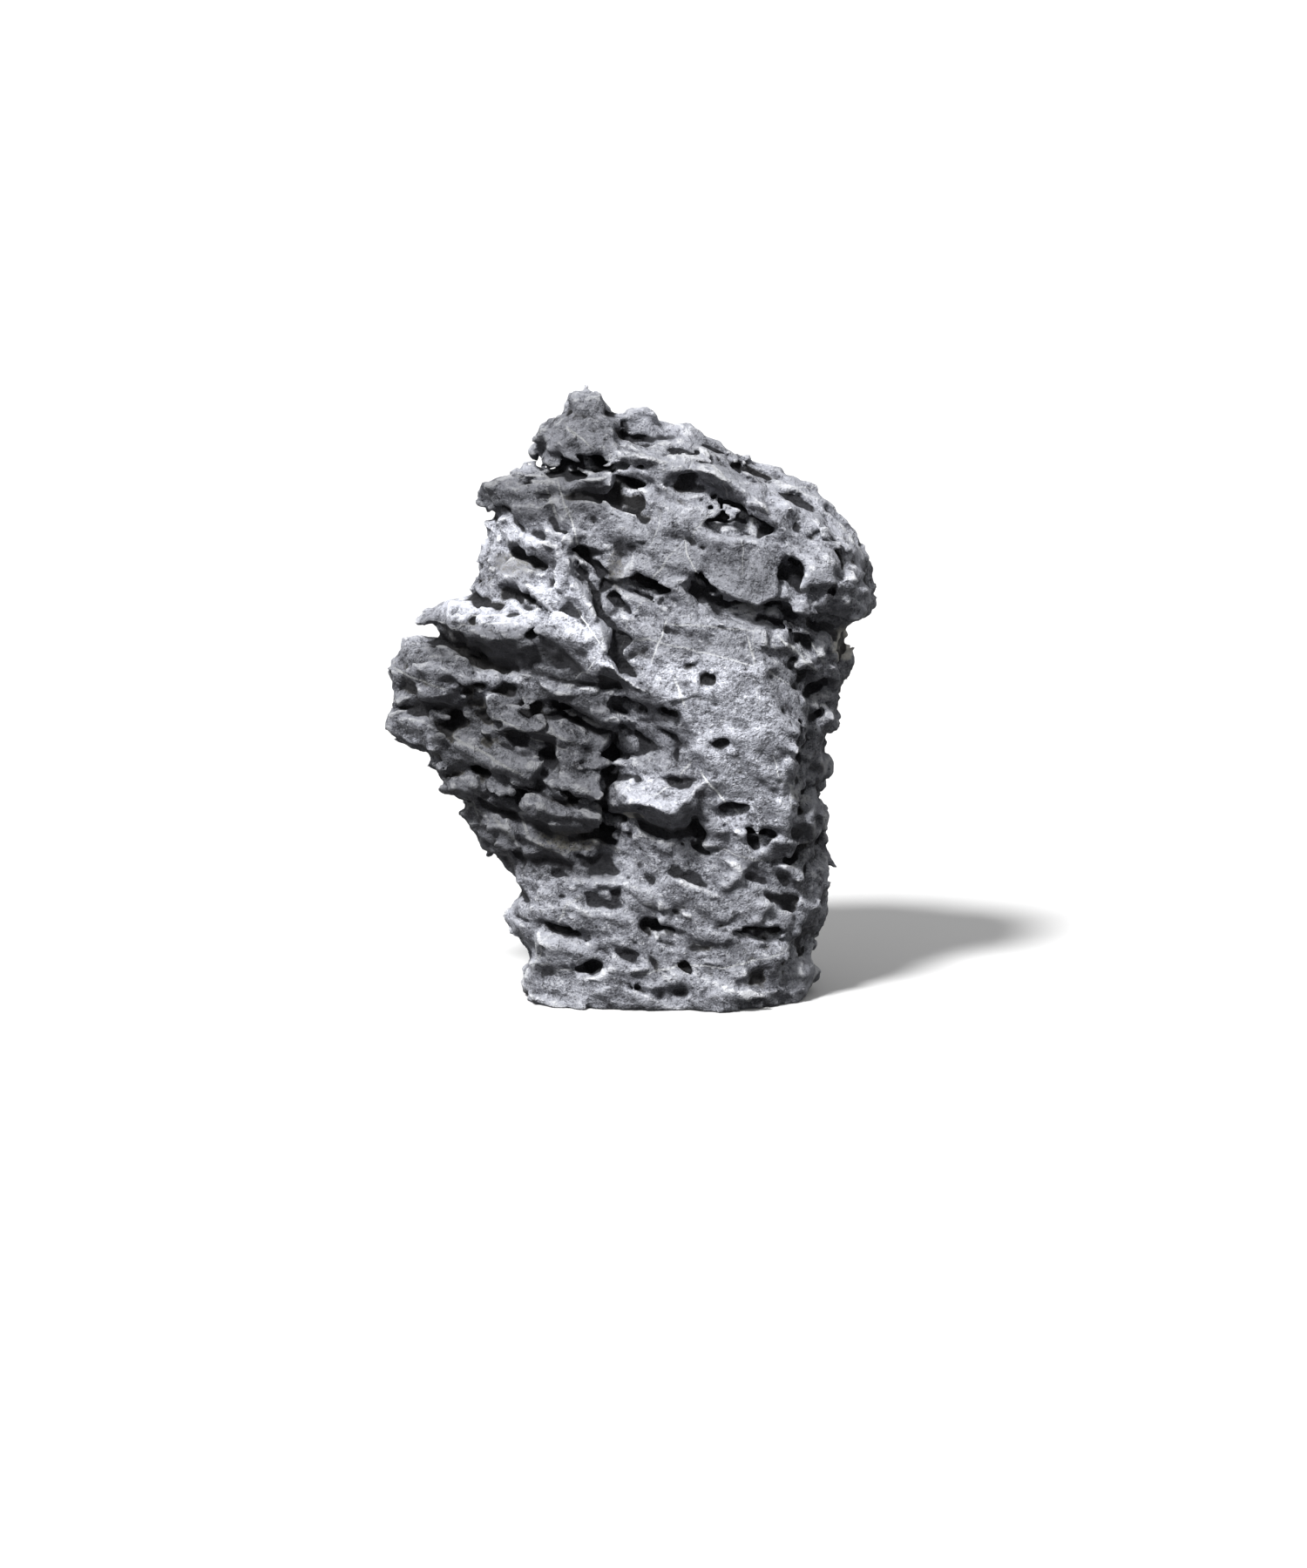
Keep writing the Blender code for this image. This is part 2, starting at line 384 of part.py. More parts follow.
def scattered_plates():
    """Flat-lying six-sided plates at seeded places on the back: azimuth, front points and inner depth."""
    rng = random.Random(PLATE_SEED)
    plates = []
    while len(plates) < PLATE_COUNT:
        x, height = rng.uniform(*PLATE_X), rng.uniform(*PLATE_HEIGHTS)
        length, thickness = rng.uniform(*PLATE_LENGTH), rng.uniform(*PLATE_THICKNESS)
        proud = rng.uniform(*PLATE_PROUD)
        turns = [rng.uniform(-PLATE_TURN, PLATE_TURN) for _ in range(PLATE_SIDES)]
        reach = back_reach(x, height)
        azimuth = 180 - TURN_PER_MM * x
        towards = math.radians(azimuth)
        along = x * math.cos(towards) + reach * math.sin(towards)
        out = x * math.sin(towards) - reach * math.cos(towards) + proud
        dip = math.radians(-BEDDING_DIP * math.cos(towards))
        front = []
        for i, turn in enumerate(turns):
            angle = 2 * math.pi * (i + turn) / PLATE_SIDES
            run, rise = length * math.cos(angle), thickness * math.sin(angle)
            front.append((along + run * math.cos(dip) - rise * math.sin(dip), out - PLATE_LEAN * rise,
                          height + run * math.sin(dip) + rise * math.cos(dip)))
        wide = [(PLATE_MARGIN * (a * math.cos(towards) + o * math.sin(towards)), z) for a, o, z in front]
        if reach > LEAST_REACH and all(inside_outline(*corner) for corner in wide):
            plates.append((azimuth, front, out - PLATE_DEPTH))
    return plates


def add_plate(bm, azimuth, front, inner):
    """Adds the convex hull of the front points and of the same points moved in to the depth given."""
    points = front + [(along, inner, height) for along, _, height in front]
    turn = facing(azimuth)
    verts = [bm.verts.new(turn @ Vector(point)) for point in points]
    made = bmesh.ops.convex_hull(bm, input=verts, use_existing_faces=False)
    inside = made["geom_interior"] + made["geom_unused"]
    spare = {item for item in inside if isinstance(item, bmesh.types.BMVert)}
    bmesh.ops.delete(bm, geom=list(spare), context="VERTS")


def object_from(name, bm):
    mesh = bpy.data.meshes.new(name)
    bmesh.ops.recalc_face_normals(bm, faces=bm.faces)
    bm.to_mesh(mesh)
    bm.free()
    made = bpy.data.objects.new(name, mesh)
    bpy.context.scene.collection.objects.link(made)
    return made


def blocked_out_stone():
    bm = bmesh.new()
    add_half(bm, FRONT_LINES, 1)
    add_half(bm, BACK_LINES, -1)
    for azimuth, front, inner in scattered_plates():
        add_plate(bm, azimuth, front, inner)
    return object_from("blocked_out", bm)


def hollow_cutters():
    bm = bmesh.new()
    for azimuth, centre, half, roll in HOLLOWS.values():
        ball = bmesh.ops.create_icosphere(bm, subdivisions=HOLLOW_SUBDIVISIONS, radius=1.0)
        climb = min(MOST_CLIMB, HOLLOW_CLIMB * half[2] / half[1])
        lift = Matrix.Identity(4)
        lift[2][1] = -climb
        place = (facing(azimuth) @ Matrix.Translation(centre) @ lift
                 @ Matrix.Rotation(math.radians(-roll), 4, "Y") @ Matrix.Diagonal((*half, 1.0)))
        bmesh.ops.transform(bm, matrix=place, verts=ball["verts"])
    return object_from("hollow_cutters", bm)


def add_remesh(item, voxel):
    remesh = item.modifiers.new("one_skin", "REMESH")
    remesh.mode = "VOXEL"
    remesh.voxel_size = voxel
    remesh.adaptivity = 0.0


def add_weathering(item, name, kind, size, depth, middle):
    texture = bpy.data.textures.new(name, kind)
    texture.noise_scale = size
    displace = item.modifiers.new(name, "DISPLACE")
    displace.texture = texture
    displace.texture_coords = "LOCAL"
    displace.strength = depth
    displace.mid_level = middle


def evaluated_mesh(item):
    graph = bpy.context.evaluated_depsgraph_get()
    return bpy.data.meshes.new_from_object(item.evaluated_get(graph), depsgraph=graph)


def cut_foot(bm):
    """Cuts the underside flat at height 0. Points close to the cut are first drawn onto it."""
    for vert in bm.verts:
        if abs(vert.co.z) < FOOT_SNAP:
            vert.co.z = 0.0
    everything = bm.verts[:] + bm.edges[:] + bm.faces[:]
    bmesh.ops.bisect_plane(bm, geom=everything, dist=1e-6, plane_co=(0, 0, 0), plane_no=(0, 0, 1),
                           clear_inner=True)
    rim = [edge for edge in bm.edges if edge.is_boundary]
    bmesh.ops.holes_fill(bm, edges=rim, sides=0)


def keep_largest_piece(bm):
    """Drops crumbs that hollows have cut loose from the stone."""
    unseen = set(bm.verts)
    pieces = []
    while unseen:
        start = unseen.pop()
        piece, queue = [start], [start]
        while queue:
            for edge in queue.pop().link_edges:
                for vert in edge.verts:
                    if vert in unseen:
                        unseen.discard(vert)
                        piece.append(vert)
                        queue.append(vert)
        pieces.append(piece)
    pieces.sort(key=len)
    for piece in pieces[:-1]:
        bmesh.ops.delete(bm, geom=piece, context="VERTS")


def fit_to_size(bm):
    """Scales the stone to its driving dimensions, centred on the axis and standing on height 0."""
    places = np.array([vert.co for vert in bm.verts])
    low, high = places.min(axis=0), places.max(axis=0)
    scale = np.array((STONE_WIDTH, STONE_DEPTH, STONE_HEIGHT)) / (high - low)
    middle = (low + high) / 2
    for vert in bm.verts:
        vert.co.x = (vert.co.x - middle[0]) * scale[0]
        vert.co.y = (vert.co.y - middle[1]) * scale[1]
        vert.co.z = (vert.co.z - low[2]) * scale[2]


def build_stone():
    rough = blocked_out_stone()
    add_remesh(rough, UNION_VOXEL)
    cutters = hollow_cutters()
    add_remesh(cutters, UNION_VOXEL)
    cutters.hide_render = True
    cutters.display_type = "WIRE"
    hollowed = rough.modifiers.new("hollows", "BOOLEAN")
    hollowed.operation = "DIFFERENCE"
    hollowed.solver = "EXACT"
    hollowed.object = cutters
    add_remesh(rough, FINAL_VOXEL)
    add_weathering(rough, "swells", "CLOUDS", SWELL_SIZE, SWELL_DEPTH, 0.5)
    add_weathering(rough, "scallops", "VORONOI", SCALLOP_SIZE, SCALLOP_DEPTH, 0.4)
    mesh = evaluated_mesh(rough)
    faces = sum(len(polygon.vertices) - 2 for polygon in mesh.polygons)
    bpy.data.objects.remove(rough, do_unlink=True)
    bpy.data.objects.remove(cutters, do_unlink=True)

    fine = bpy.data.objects.new("fine", mesh)
    bpy.context.scene.collection.objects.link(fine)
    thinned = fine.modifiers.new("facets", "DECIMATE")
    thinned.ratio = TRIANGLE_TARGET / faces
    mesh = evaluated_mesh(fine)
    bpy.data.objects.remove(fine, do_unlink=True)

    bm = bmesh.new()
    bm.from_mesh(mesh)
    cut_foot(bm)
    keep_largest_piece(bm)
    fit_to_size(bm)
    bmesh.ops.triangulate(bm, faces=bm.faces)
    stone = object_from("seiryu_stone", bm)
    stone.data.materials.append(stone_material())
    return stone


clear_scene()
build_stone()
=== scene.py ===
import math
import random
import time

import bmesh
import bpy
import numpy as np
from mathutils import Matrix, Vector
from mathutils.geometry import delaunay_2d_cdt


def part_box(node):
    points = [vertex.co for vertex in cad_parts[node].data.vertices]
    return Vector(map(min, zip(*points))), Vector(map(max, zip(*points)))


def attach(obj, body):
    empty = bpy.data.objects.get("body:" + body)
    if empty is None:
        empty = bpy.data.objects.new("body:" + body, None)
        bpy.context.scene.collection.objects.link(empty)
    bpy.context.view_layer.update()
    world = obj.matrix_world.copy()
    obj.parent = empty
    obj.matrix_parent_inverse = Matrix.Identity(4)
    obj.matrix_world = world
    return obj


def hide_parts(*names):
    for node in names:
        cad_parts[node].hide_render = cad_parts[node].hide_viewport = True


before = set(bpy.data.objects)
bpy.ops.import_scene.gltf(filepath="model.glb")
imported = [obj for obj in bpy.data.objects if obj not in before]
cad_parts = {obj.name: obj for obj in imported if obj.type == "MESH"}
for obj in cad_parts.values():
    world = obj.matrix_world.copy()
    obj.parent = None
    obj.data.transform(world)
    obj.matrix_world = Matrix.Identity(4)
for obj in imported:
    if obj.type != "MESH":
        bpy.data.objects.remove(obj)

mm = 0.001
started = time.perf_counter()
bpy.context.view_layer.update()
boxLow, boxHigh = [np.array(corner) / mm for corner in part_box("seiryu_stone")]


def say(stage):
    print(f"{time.perf_counter() - started:6.1f} s  {stage}")


# Outline of the stone seen from the front: x and height, mm, once round
outline = (
    (-34, 342), (-32, 349), (-30, 352), (-22, 352), (-15, 351), (-12, 346), (-8, 342), (-3, 340),
    (-2, 342), (0, 344), (10, 343), (14, 339), (17, 333), (25, 331), (35, 330), (40, 327), (48, 325),
    (54, 323), (60, 317), (65, 312), (69, 314), (70, 316), (72, 310), (75, 307), (85, 303), (95, 300),
    (105, 296), (113, 289), (118, 283), (123, 278), (127, 273), (130, 268), (134, 262), (136, 254),
    (138, 247), (140, 240), (140, 234), (139, 230), (135, 224), (127, 220), (127, 214), (128, 210),
    (127, 203), (129, 198), (128, 191), (126, 183), (123, 175), (122, 165), (123, 159), (119, 153),
    (116, 143), (114, 133), (112, 128), (111, 120), (115, 115), (114, 107), (112, 103), (115, 99),
    (117, 94), (114, 86), (116, 79), (118, 71), (112, 59), (114, 45), (106, 31), (108, 15), (103, 1),
    (104, -29), (-58, -29), (-60, 7), (-56, 23), (-66, 35), (-70, 49), (-64, 61), (-72, 71), (-76, 81),
    (-79, 83), (-83, 88), (-86, 92), (-92, 94), (-94, 99), (-93, 105), (-92, 112), (-90, 115), (-97, 117),
    (-106, 119), (-110, 122), (-108, 125), (-110, 131), (-113, 137), (-115, 143), (-124, 141),
    (-132, 146), (-138, 150), (-141, 156), (-140, 161), (-138, 167), (-132, 173), (-135, 179),
    (-137, 184), (-137, 191), (-133, 201), (-127, 209), (-108, 210), (-112, 217), (-116, 218),
    (-119, 221), (-115, 225), (-108, 232), (-97, 234), (-87, 236), (-89, 240), (-88, 244), (-85, 254),
    (-82, 261), (-81, 265), (-78, 271), (-79, 275), (-76, 277), (-75, 281), (-81, 282), (-84, 285),
    (-85, 292), (-84, 296), (-82, 300), (-77, 302), (-70, 303), (-62, 305), (-52, 304), (-42, 305),
    (-38, 307), (-45, 310), (-50, 314), (-52, 319), (-52, 328), (-49, 335), (-41, 338),
)

# Ridges, edges and valleys of the front: x, height and how far in front of the axis, mm
frontLines = {
    "browEdge": ((-16, 314, 44), (-4, 318, 47), (9, 319, 50), (22, 316, 53), (38, 313, 56), (51, 311, 58),
                 (62, 307, 59), (73, 298, 61), (81, 286, 63), (85, 279, 64)),
    "browUnder": ((-8, 303, 42), (4, 301, 41), (17, 303, 48), (28, 300, 40), (38, 299, 42), (51, 297, 50),
                  (68, 292, 56)),
    "browFloor": ((-8, 290, 50), (0, 292, 47), (11, 293, 49), (22, 295, 51), (32, 292, 55), (46, 292, 56),
                  (59, 293, 57), (71, 287, 57)),
    "topBand": ((-2, 327, 20), (15, 322, 26), (31, 320, 26), (48, 316, 30), (61, 308, 34), (77, 298, 40),
                (94, 288, 44), (108, 279, 44)),
    "topBack": ((0, 337, 10), (18, 327, 10), (35, 326, 12), (52, 319, 12), (67, 310, 16), (87, 297, 16),
                (106, 288, 16), (122, 274, 20)),
    "shoulderEdge": ((85, 278, 62), (95, 273, 60), (108, 270, 56), (120, 269, 44), (130, 262, 30)),
    "rightLobeTop": ((84, 265, 60), (93, 267, 64), (104, 263, 65), (113, 264, 62), (125, 260, 48),
                     (134, 250, 30)),
    "rightLobeFront": ((88, 247, 65), (101, 250, 68), (113, 249, 67), (127, 245, 51), (137, 238, 27)),
    "rightLobeBottom": ((88, 239, 60), (99, 235, 61), (112, 230, 56), (124, 226, 42), (132, 226, 28)),
    "rightLobeUnder": ((94, 228, 38), (105, 222, 36), (119, 216, 26), (126, 211, 14)),
    "boulderTop": ((38, 270, 55), (48, 269, 57), (62, 268, 58), (77, 268, 60), (84, 265, 60)),
    "boulderFace": ((40, 258, 59), (55, 256, 62), (70, 255, 65), (81, 255, 64)),
    "boulderBottom": ((42, 252, 62), (51, 246, 66), (62, 241, 70), (73, 238, 71), (81, 242, 68)),
    "boulderUnder": ((42, 242, 50), (51, 233, 44), (63, 232, 40), (76, 233, 41), (85, 234, 42)),
    "slabTop": ((-77, 303, 14), (-65, 305, 20), (-48, 307, 24), (-33, 307, 29), (-18, 309, 38)),
    "slabFrontTop": ((-81, 299, 20), (-70, 302, 32), (-57, 302, 38), (-41, 303, 43), (-26, 305, 47),
                     (-12, 308, 51)),
    "slabLow": ((-80, 285, 18), (-70, 290, 32), (-61, 292, 38), (-48, 292, 41)),
    "slabRidge": ((-41, 302, 41), (-37, 297, 46), (-33, 291, 50), (-27, 283, 52), (-26, 270, 53)),
    "slabRightEdge": ((-12, 308, 49), (-12, 301, 50), (-12, 290, 52), (-3, 286, 54), (0, 274, 56),
                      (4, 262, 58)),
    "slabValley": ((-23, 298, 46), (-20, 288, 49), (-18, 277, 51), (-11, 266, 54)),
    "leftBlockPeak": ((-77, 276, 20), (-64, 284, 38), (-56, 290, 44)),
    "leftBlockLow": ((-80, 255, 17), (-70, 257, 33), (-59, 259, 42), (-48, 259, 47)),
    "smallLedge": ((-87, 241, 18), (-74, 246, 36), (-62, 247, 44)),
    "ledgeBack": ((-107, 231, 14), (-91, 234, 24), (-76, 235, 34), (-63, 234, 42), (-46, 229, 52)),
    "ledgeFront": ((-116, 222, 21), (-103, 219, 37), (-88, 218, 49), (-75, 215, 57), (-62, 217, 60),
                   (-49, 220, 62), (-38, 213, 67), (-25, 204, 72)),
    "ledgeUnder": ((-111, 209, 12), (-97, 206, 25), (-83, 201, 31), (-70, 196, 36), (-55, 192, 43),
                   (-41, 192, 48), (-24, 190, 54), (-6, 190, 62)),
    "spurLeft": ((-60, 254, 48), (-54, 242, 53), (-44, 229, 59), (-36, 219, 66), (-25, 204, 72)),
    "spurRight": ((-33, 257, 58), (-25, 244, 64), (-16, 231, 70), (-10, 214, 76), (-4, 198, 79)),
    "spurBottom": ((-25, 204, 72), (-14, 200, 76), (-4, 198, 79)),
    "spurGroove": ((-28, 259, 42), (-22, 247, 45), (-16, 234, 50), (-8, 222, 55), (-2, 208, 61),
                   (4, 198, 66)),
    "panelMiddle": ((9, 278, 56), (22, 278, 57), (31, 270, 58), (38, 263, 59)),
    "panelFoot": ((-15, 255, 56), (-4, 250, 61), (11, 250, 64), (26, 249, 65), (38, 252, 62)),
    "panelLow": ((-14, 239, 56), (-4, 234, 60), (13, 231, 63), (28, 234, 64), (38, 235, 62), (48, 233, 60)),
    "faceTop": ((7, 224, 68), (22, 222, 70), (38, 224, 70), (51, 229, 66), (62, 228, 68), (75, 227, 69)),
    "faceRightEdge": ((75, 227, 69), (76, 211, 72), (77, 195, 73), (84, 178, 74), (93, 163, 72),
                      (93, 148, 70), (91, 135, 68), (91, 119, 66), (89, 104, 62)),
    "faceCrack": ((81, 221, 60), (82, 210, 61), (84, 198, 64)),
    "faceLeft": ((-4, 198, 79), (13, 188, 79), (29, 177, 80), (35, 169, 80), (42, 157, 79), (48, 138, 76),
                 (53, 123, 74)),
    "faceMiddle": ((22, 203, 75), (40, 194, 77), (59, 183, 78), (68, 164, 78), (72, 142, 75),
                   (72, 124, 71)),
    "recessUpper": ((-3, 184, 62), (11, 176, 65), (26, 169, 69)),
    "recessDeep": ((-6, 161, 47), (7, 158, 51), (18, 154, 56), (31, 149, 65)),
    "recessLow": ((-9, 146, 47), (2, 144, 54), (15, 143, 62), (28, 140, 68)),
    "tongueOneTop": ((-40, 184, 54), (-24, 189, 60), (-7, 187, 66)),
    "tongueOneEdge": ((-38, 180, 58), (-26, 175, 61), (-15, 171, 66), (-6, 172, 68)),
    "tongueOneUnder": ((-35, 168, 40), (-27, 165, 42)),
    "lobeTop": ((-126, 208, 14), (-113, 208, 26), (-100, 206, 34), (-87, 200, 38)),
    "lobeFront": ((-134, 190, 16), (-120, 196, 33), (-107, 197, 41), (-92, 193, 45), (-79, 187, 46)),
    "lobeBottom": ((-132, 175, 16), (-117, 180, 32), (-102, 182, 41), (-89, 182, 43)),
    "lobeUnder": ((-129, 170, 10), (-112, 171, 20), (-97, 172, 27), (-80, 176, 32)),
    "smallLobe": ((-137, 159, 14), (-127, 165, 27), (-115, 165, 35), (-108, 161, 34)),
    "smallLobeLow": ((-133, 150, 14), (-121, 152, 26), (-112, 152, 28)),
    "strataOneTop": ((-76, 174, 43), (-61, 172, 48), (-46, 169, 52), (-32, 166, 54)),
    "strataOneEdge": ((-74, 167, 49), (-57, 163, 54), (-40, 159, 58), (-29, 154, 59)),
    "strataOneUnder": ((-72, 159, 40), (-56, 154, 44), (-41, 151, 48)),
    "strataTwoEdge": ((-106, 149, 30), (-89, 146, 44), (-74, 142, 51), (-59, 139, 56), (-41, 134, 60),
                      (-26, 130, 63), (-15, 126, 64)),
    "strataTwoUnder": ((-108, 139, 21), (-91, 136, 33), (-76, 133, 40), (-59, 129, 46), (-41, 124, 50),
                       (-26, 120, 52), (-16, 117, 52)),
    "strataThreeEdge": ((-108, 125, 22), (-95, 123, 35), (-80, 124, 44), (-65, 124, 50), (-48, 120, 56),
                        (-31, 115, 60), (-16, 113, 63)),
    "strataThreeUnder": ((-92, 111, 16), (-78, 112, 28), (-61, 108, 36), (-45, 103, 42), (-30, 99, 47),
                         (-16, 96, 49)),
    "heel": ((-93, 103, 16), (-82, 103, 30), (-71, 103, 38), (-56, 98, 45), (-41, 95, 48)),
    "heelLow": ((-77, 84, 18), (-66, 85, 29), (-49, 84, 37), (-30, 81, 41), (-15, 79, 43)),
    "bossTop": ((2, 137, 60), (15, 137, 62), (29, 135, 64)),
    "bossEdge": ((-1, 131, 72), (5, 124, 82), (17, 123, 85), (26, 120, 86), (32, 127, 82)),
    "bossUnder": ((2, 110, 56), (15, 105, 59), (28, 101, 61), (38, 107, 58)),
    "bossLow": ((-4, 96, 51), (13, 93, 57), (30, 90, 59), (43, 93, 55)),
    "darkGroove": ((-11, 135, 45), (-15, 123, 44), (-12, 111, 43), (-15, 99, 43), (-8, 88, 46)),
    "lowFace": ((42, 123, 73), (52, 109, 70), (65, 101, 66), (77, 96, 63), (89, 94, 60)),
    "stripInner": ((88, 219, 60), (90, 204, 60), (93, 189, 60), (100, 170, 56), (102, 153, 52),
                   (100, 134, 52), (101, 115, 50), (102, 95, 46)),
    "stripMiddle": ((101, 219, 46), (104, 206, 48), (101, 191, 46), (111, 178, 38), (110, 161, 36)),
    "stripOuter": ((115, 213, 36), (117, 200, 32), (120, 186, 28), (117, 167, 28), (113, 152, 26),
                   (109, 133, 28), (110, 114, 28), (112, 95, 26)),
    "tongueChip": ((-27, 163, 50), (-15, 162, 57), (-10, 158, 58), (-12, 153, 56), (-17, 148, 52)),
    "strataTwoTop": ((-83, 155, 41), (-67, 150, 47), (-48, 146, 52), (-29, 143, 56), (-14, 137, 60)),
    "strataThreeLow": ((-67, 114, 44), (-48, 112, 51), (-31, 109, 57), (-16, 107, 61)),
    "recessMiddle": ((-6, 173, 52), (7, 168, 56), (20, 163, 60), (31, 158, 66)),
    "lobeCrown": ((-48, 332, 20), (-33, 338, 26), (-18, 339, 26), (-6, 335, 26)),
    "lobeFace": ((-46, 323, 30), (-33, 329, 37), (-22, 331, 38), (-7, 326, 38)),
    "lobeFoot": ((-43, 315, 30), (-33, 314, 38), (-22, 315, 43), (-16, 315, 43)),
    "leftBlockRidge": ((-56, 290, 44), (-47, 291, 46), (-42, 279, 51), (-32, 272, 54), (-33, 257, 57)),
    "footCrest": ((-64, 70, 34), (-42, 74, 46), (-18, 72, 52), (20, 70, 63), (60, 80, 64), (96, 76, 48)),
    "footOne": ((-56, 60, 40), (-34, 58, 50), (-14, 66, 52), (2, 56, 58), (28, 60, 60), (46, 68, 66),
                (80, 58, 60), (108, 60, 34)),
    "footTwo": ((-60, 40, 34), (-42, 46, 50), (-20, 38, 56), (6, 44, 62), (24, 36, 58), (52, 42, 68),
                (74, 34, 60), (96, 46, 46)),
    "footThree": ((-52, 26, 38), (-30, 18, 54), (-6, 26, 56), (14, 14, 66), (36, 22, 60), (60, 16, 66),
                  (86, 24, 52), (102, 14, 36)),
    "footFour": ((-54, 4, 40), (-24, -2, 58), (10, -4, 64), (30, 4, 60), (52, -6, 68), (78, 2, 58),
                 (98, -4, 38)),
    "footFive": ((-54, -24, 40), (-22, -24, 60), (10, -24, 66), (50, -24, 68), (80, -24, 58),
                 (98, -24, 38)),
}

# The same for the back: how far behind the axis
backLines = {
    "crown": ((-34, 338, 12), (-8, 334, 20), (20, 326, 24), (54, 308, 26), (86, 292, 26), (112, 276, 24)),
    "crownEdge": ((-42, 318, 18), (-12, 312, 36), (22, 298, 50), (60, 284, 54), (94, 262, 50),
                  (122, 246, 34)),
    "shoulder": ((-66, 292, 20), (-44, 286, 44), (-16, 276, 62), (20, 262, 74), (54, 254, 72),
                 (88, 236, 66), (112, 214, 44)),
    "upperFace": ((-72, 262, 30), (-50, 248, 56), (-20, 240, 76), (14, 232, 84), (50, 218, 80),
                  (84, 206, 68), (110, 186, 40)),
    "middleFace": ((-104, 218, 26), (-80, 212, 52), (-46, 206, 70), (-8, 196, 84), (30, 186, 84),
                   (66, 172, 74), (100, 158, 48)),
    "lobeBack": ((-128, 190, 14), (-112, 178, 34), (-84, 174, 52), (-50, 170, 70), (-12, 158, 80),
                 (28, 148, 84), (64, 136, 74), (96, 124, 50)),
    "lowFace": ((-130, 158, 12), (-106, 152, 32), (-78, 142, 50), (-42, 132, 66), (-4, 124, 78),
                (34, 112, 78), (70, 100, 68), (102, 94, 38)),
    "heel": ((-92, 116, 18), (-66, 108, 42), (-32, 100, 62), (4, 88, 74), (40, 76, 76), (76, 66, 62),
             (104, 62, 34)),
    "foot": ((-62, 70, 28), (-36, 62, 50), (-2, 50, 66), (34, 40, 72), (70, 30, 60), (100, 26, 36)),
    "base": ((-52, 20, 30), (-20, 12, 54), (14, 4, 66), (50, 0, 68), (84, -4, 52)),
    "underside": ((-50, -24, 30), (-16, -24, 56), (18, -24, 66), (54, -24, 66), (86, -24, 50)),
}

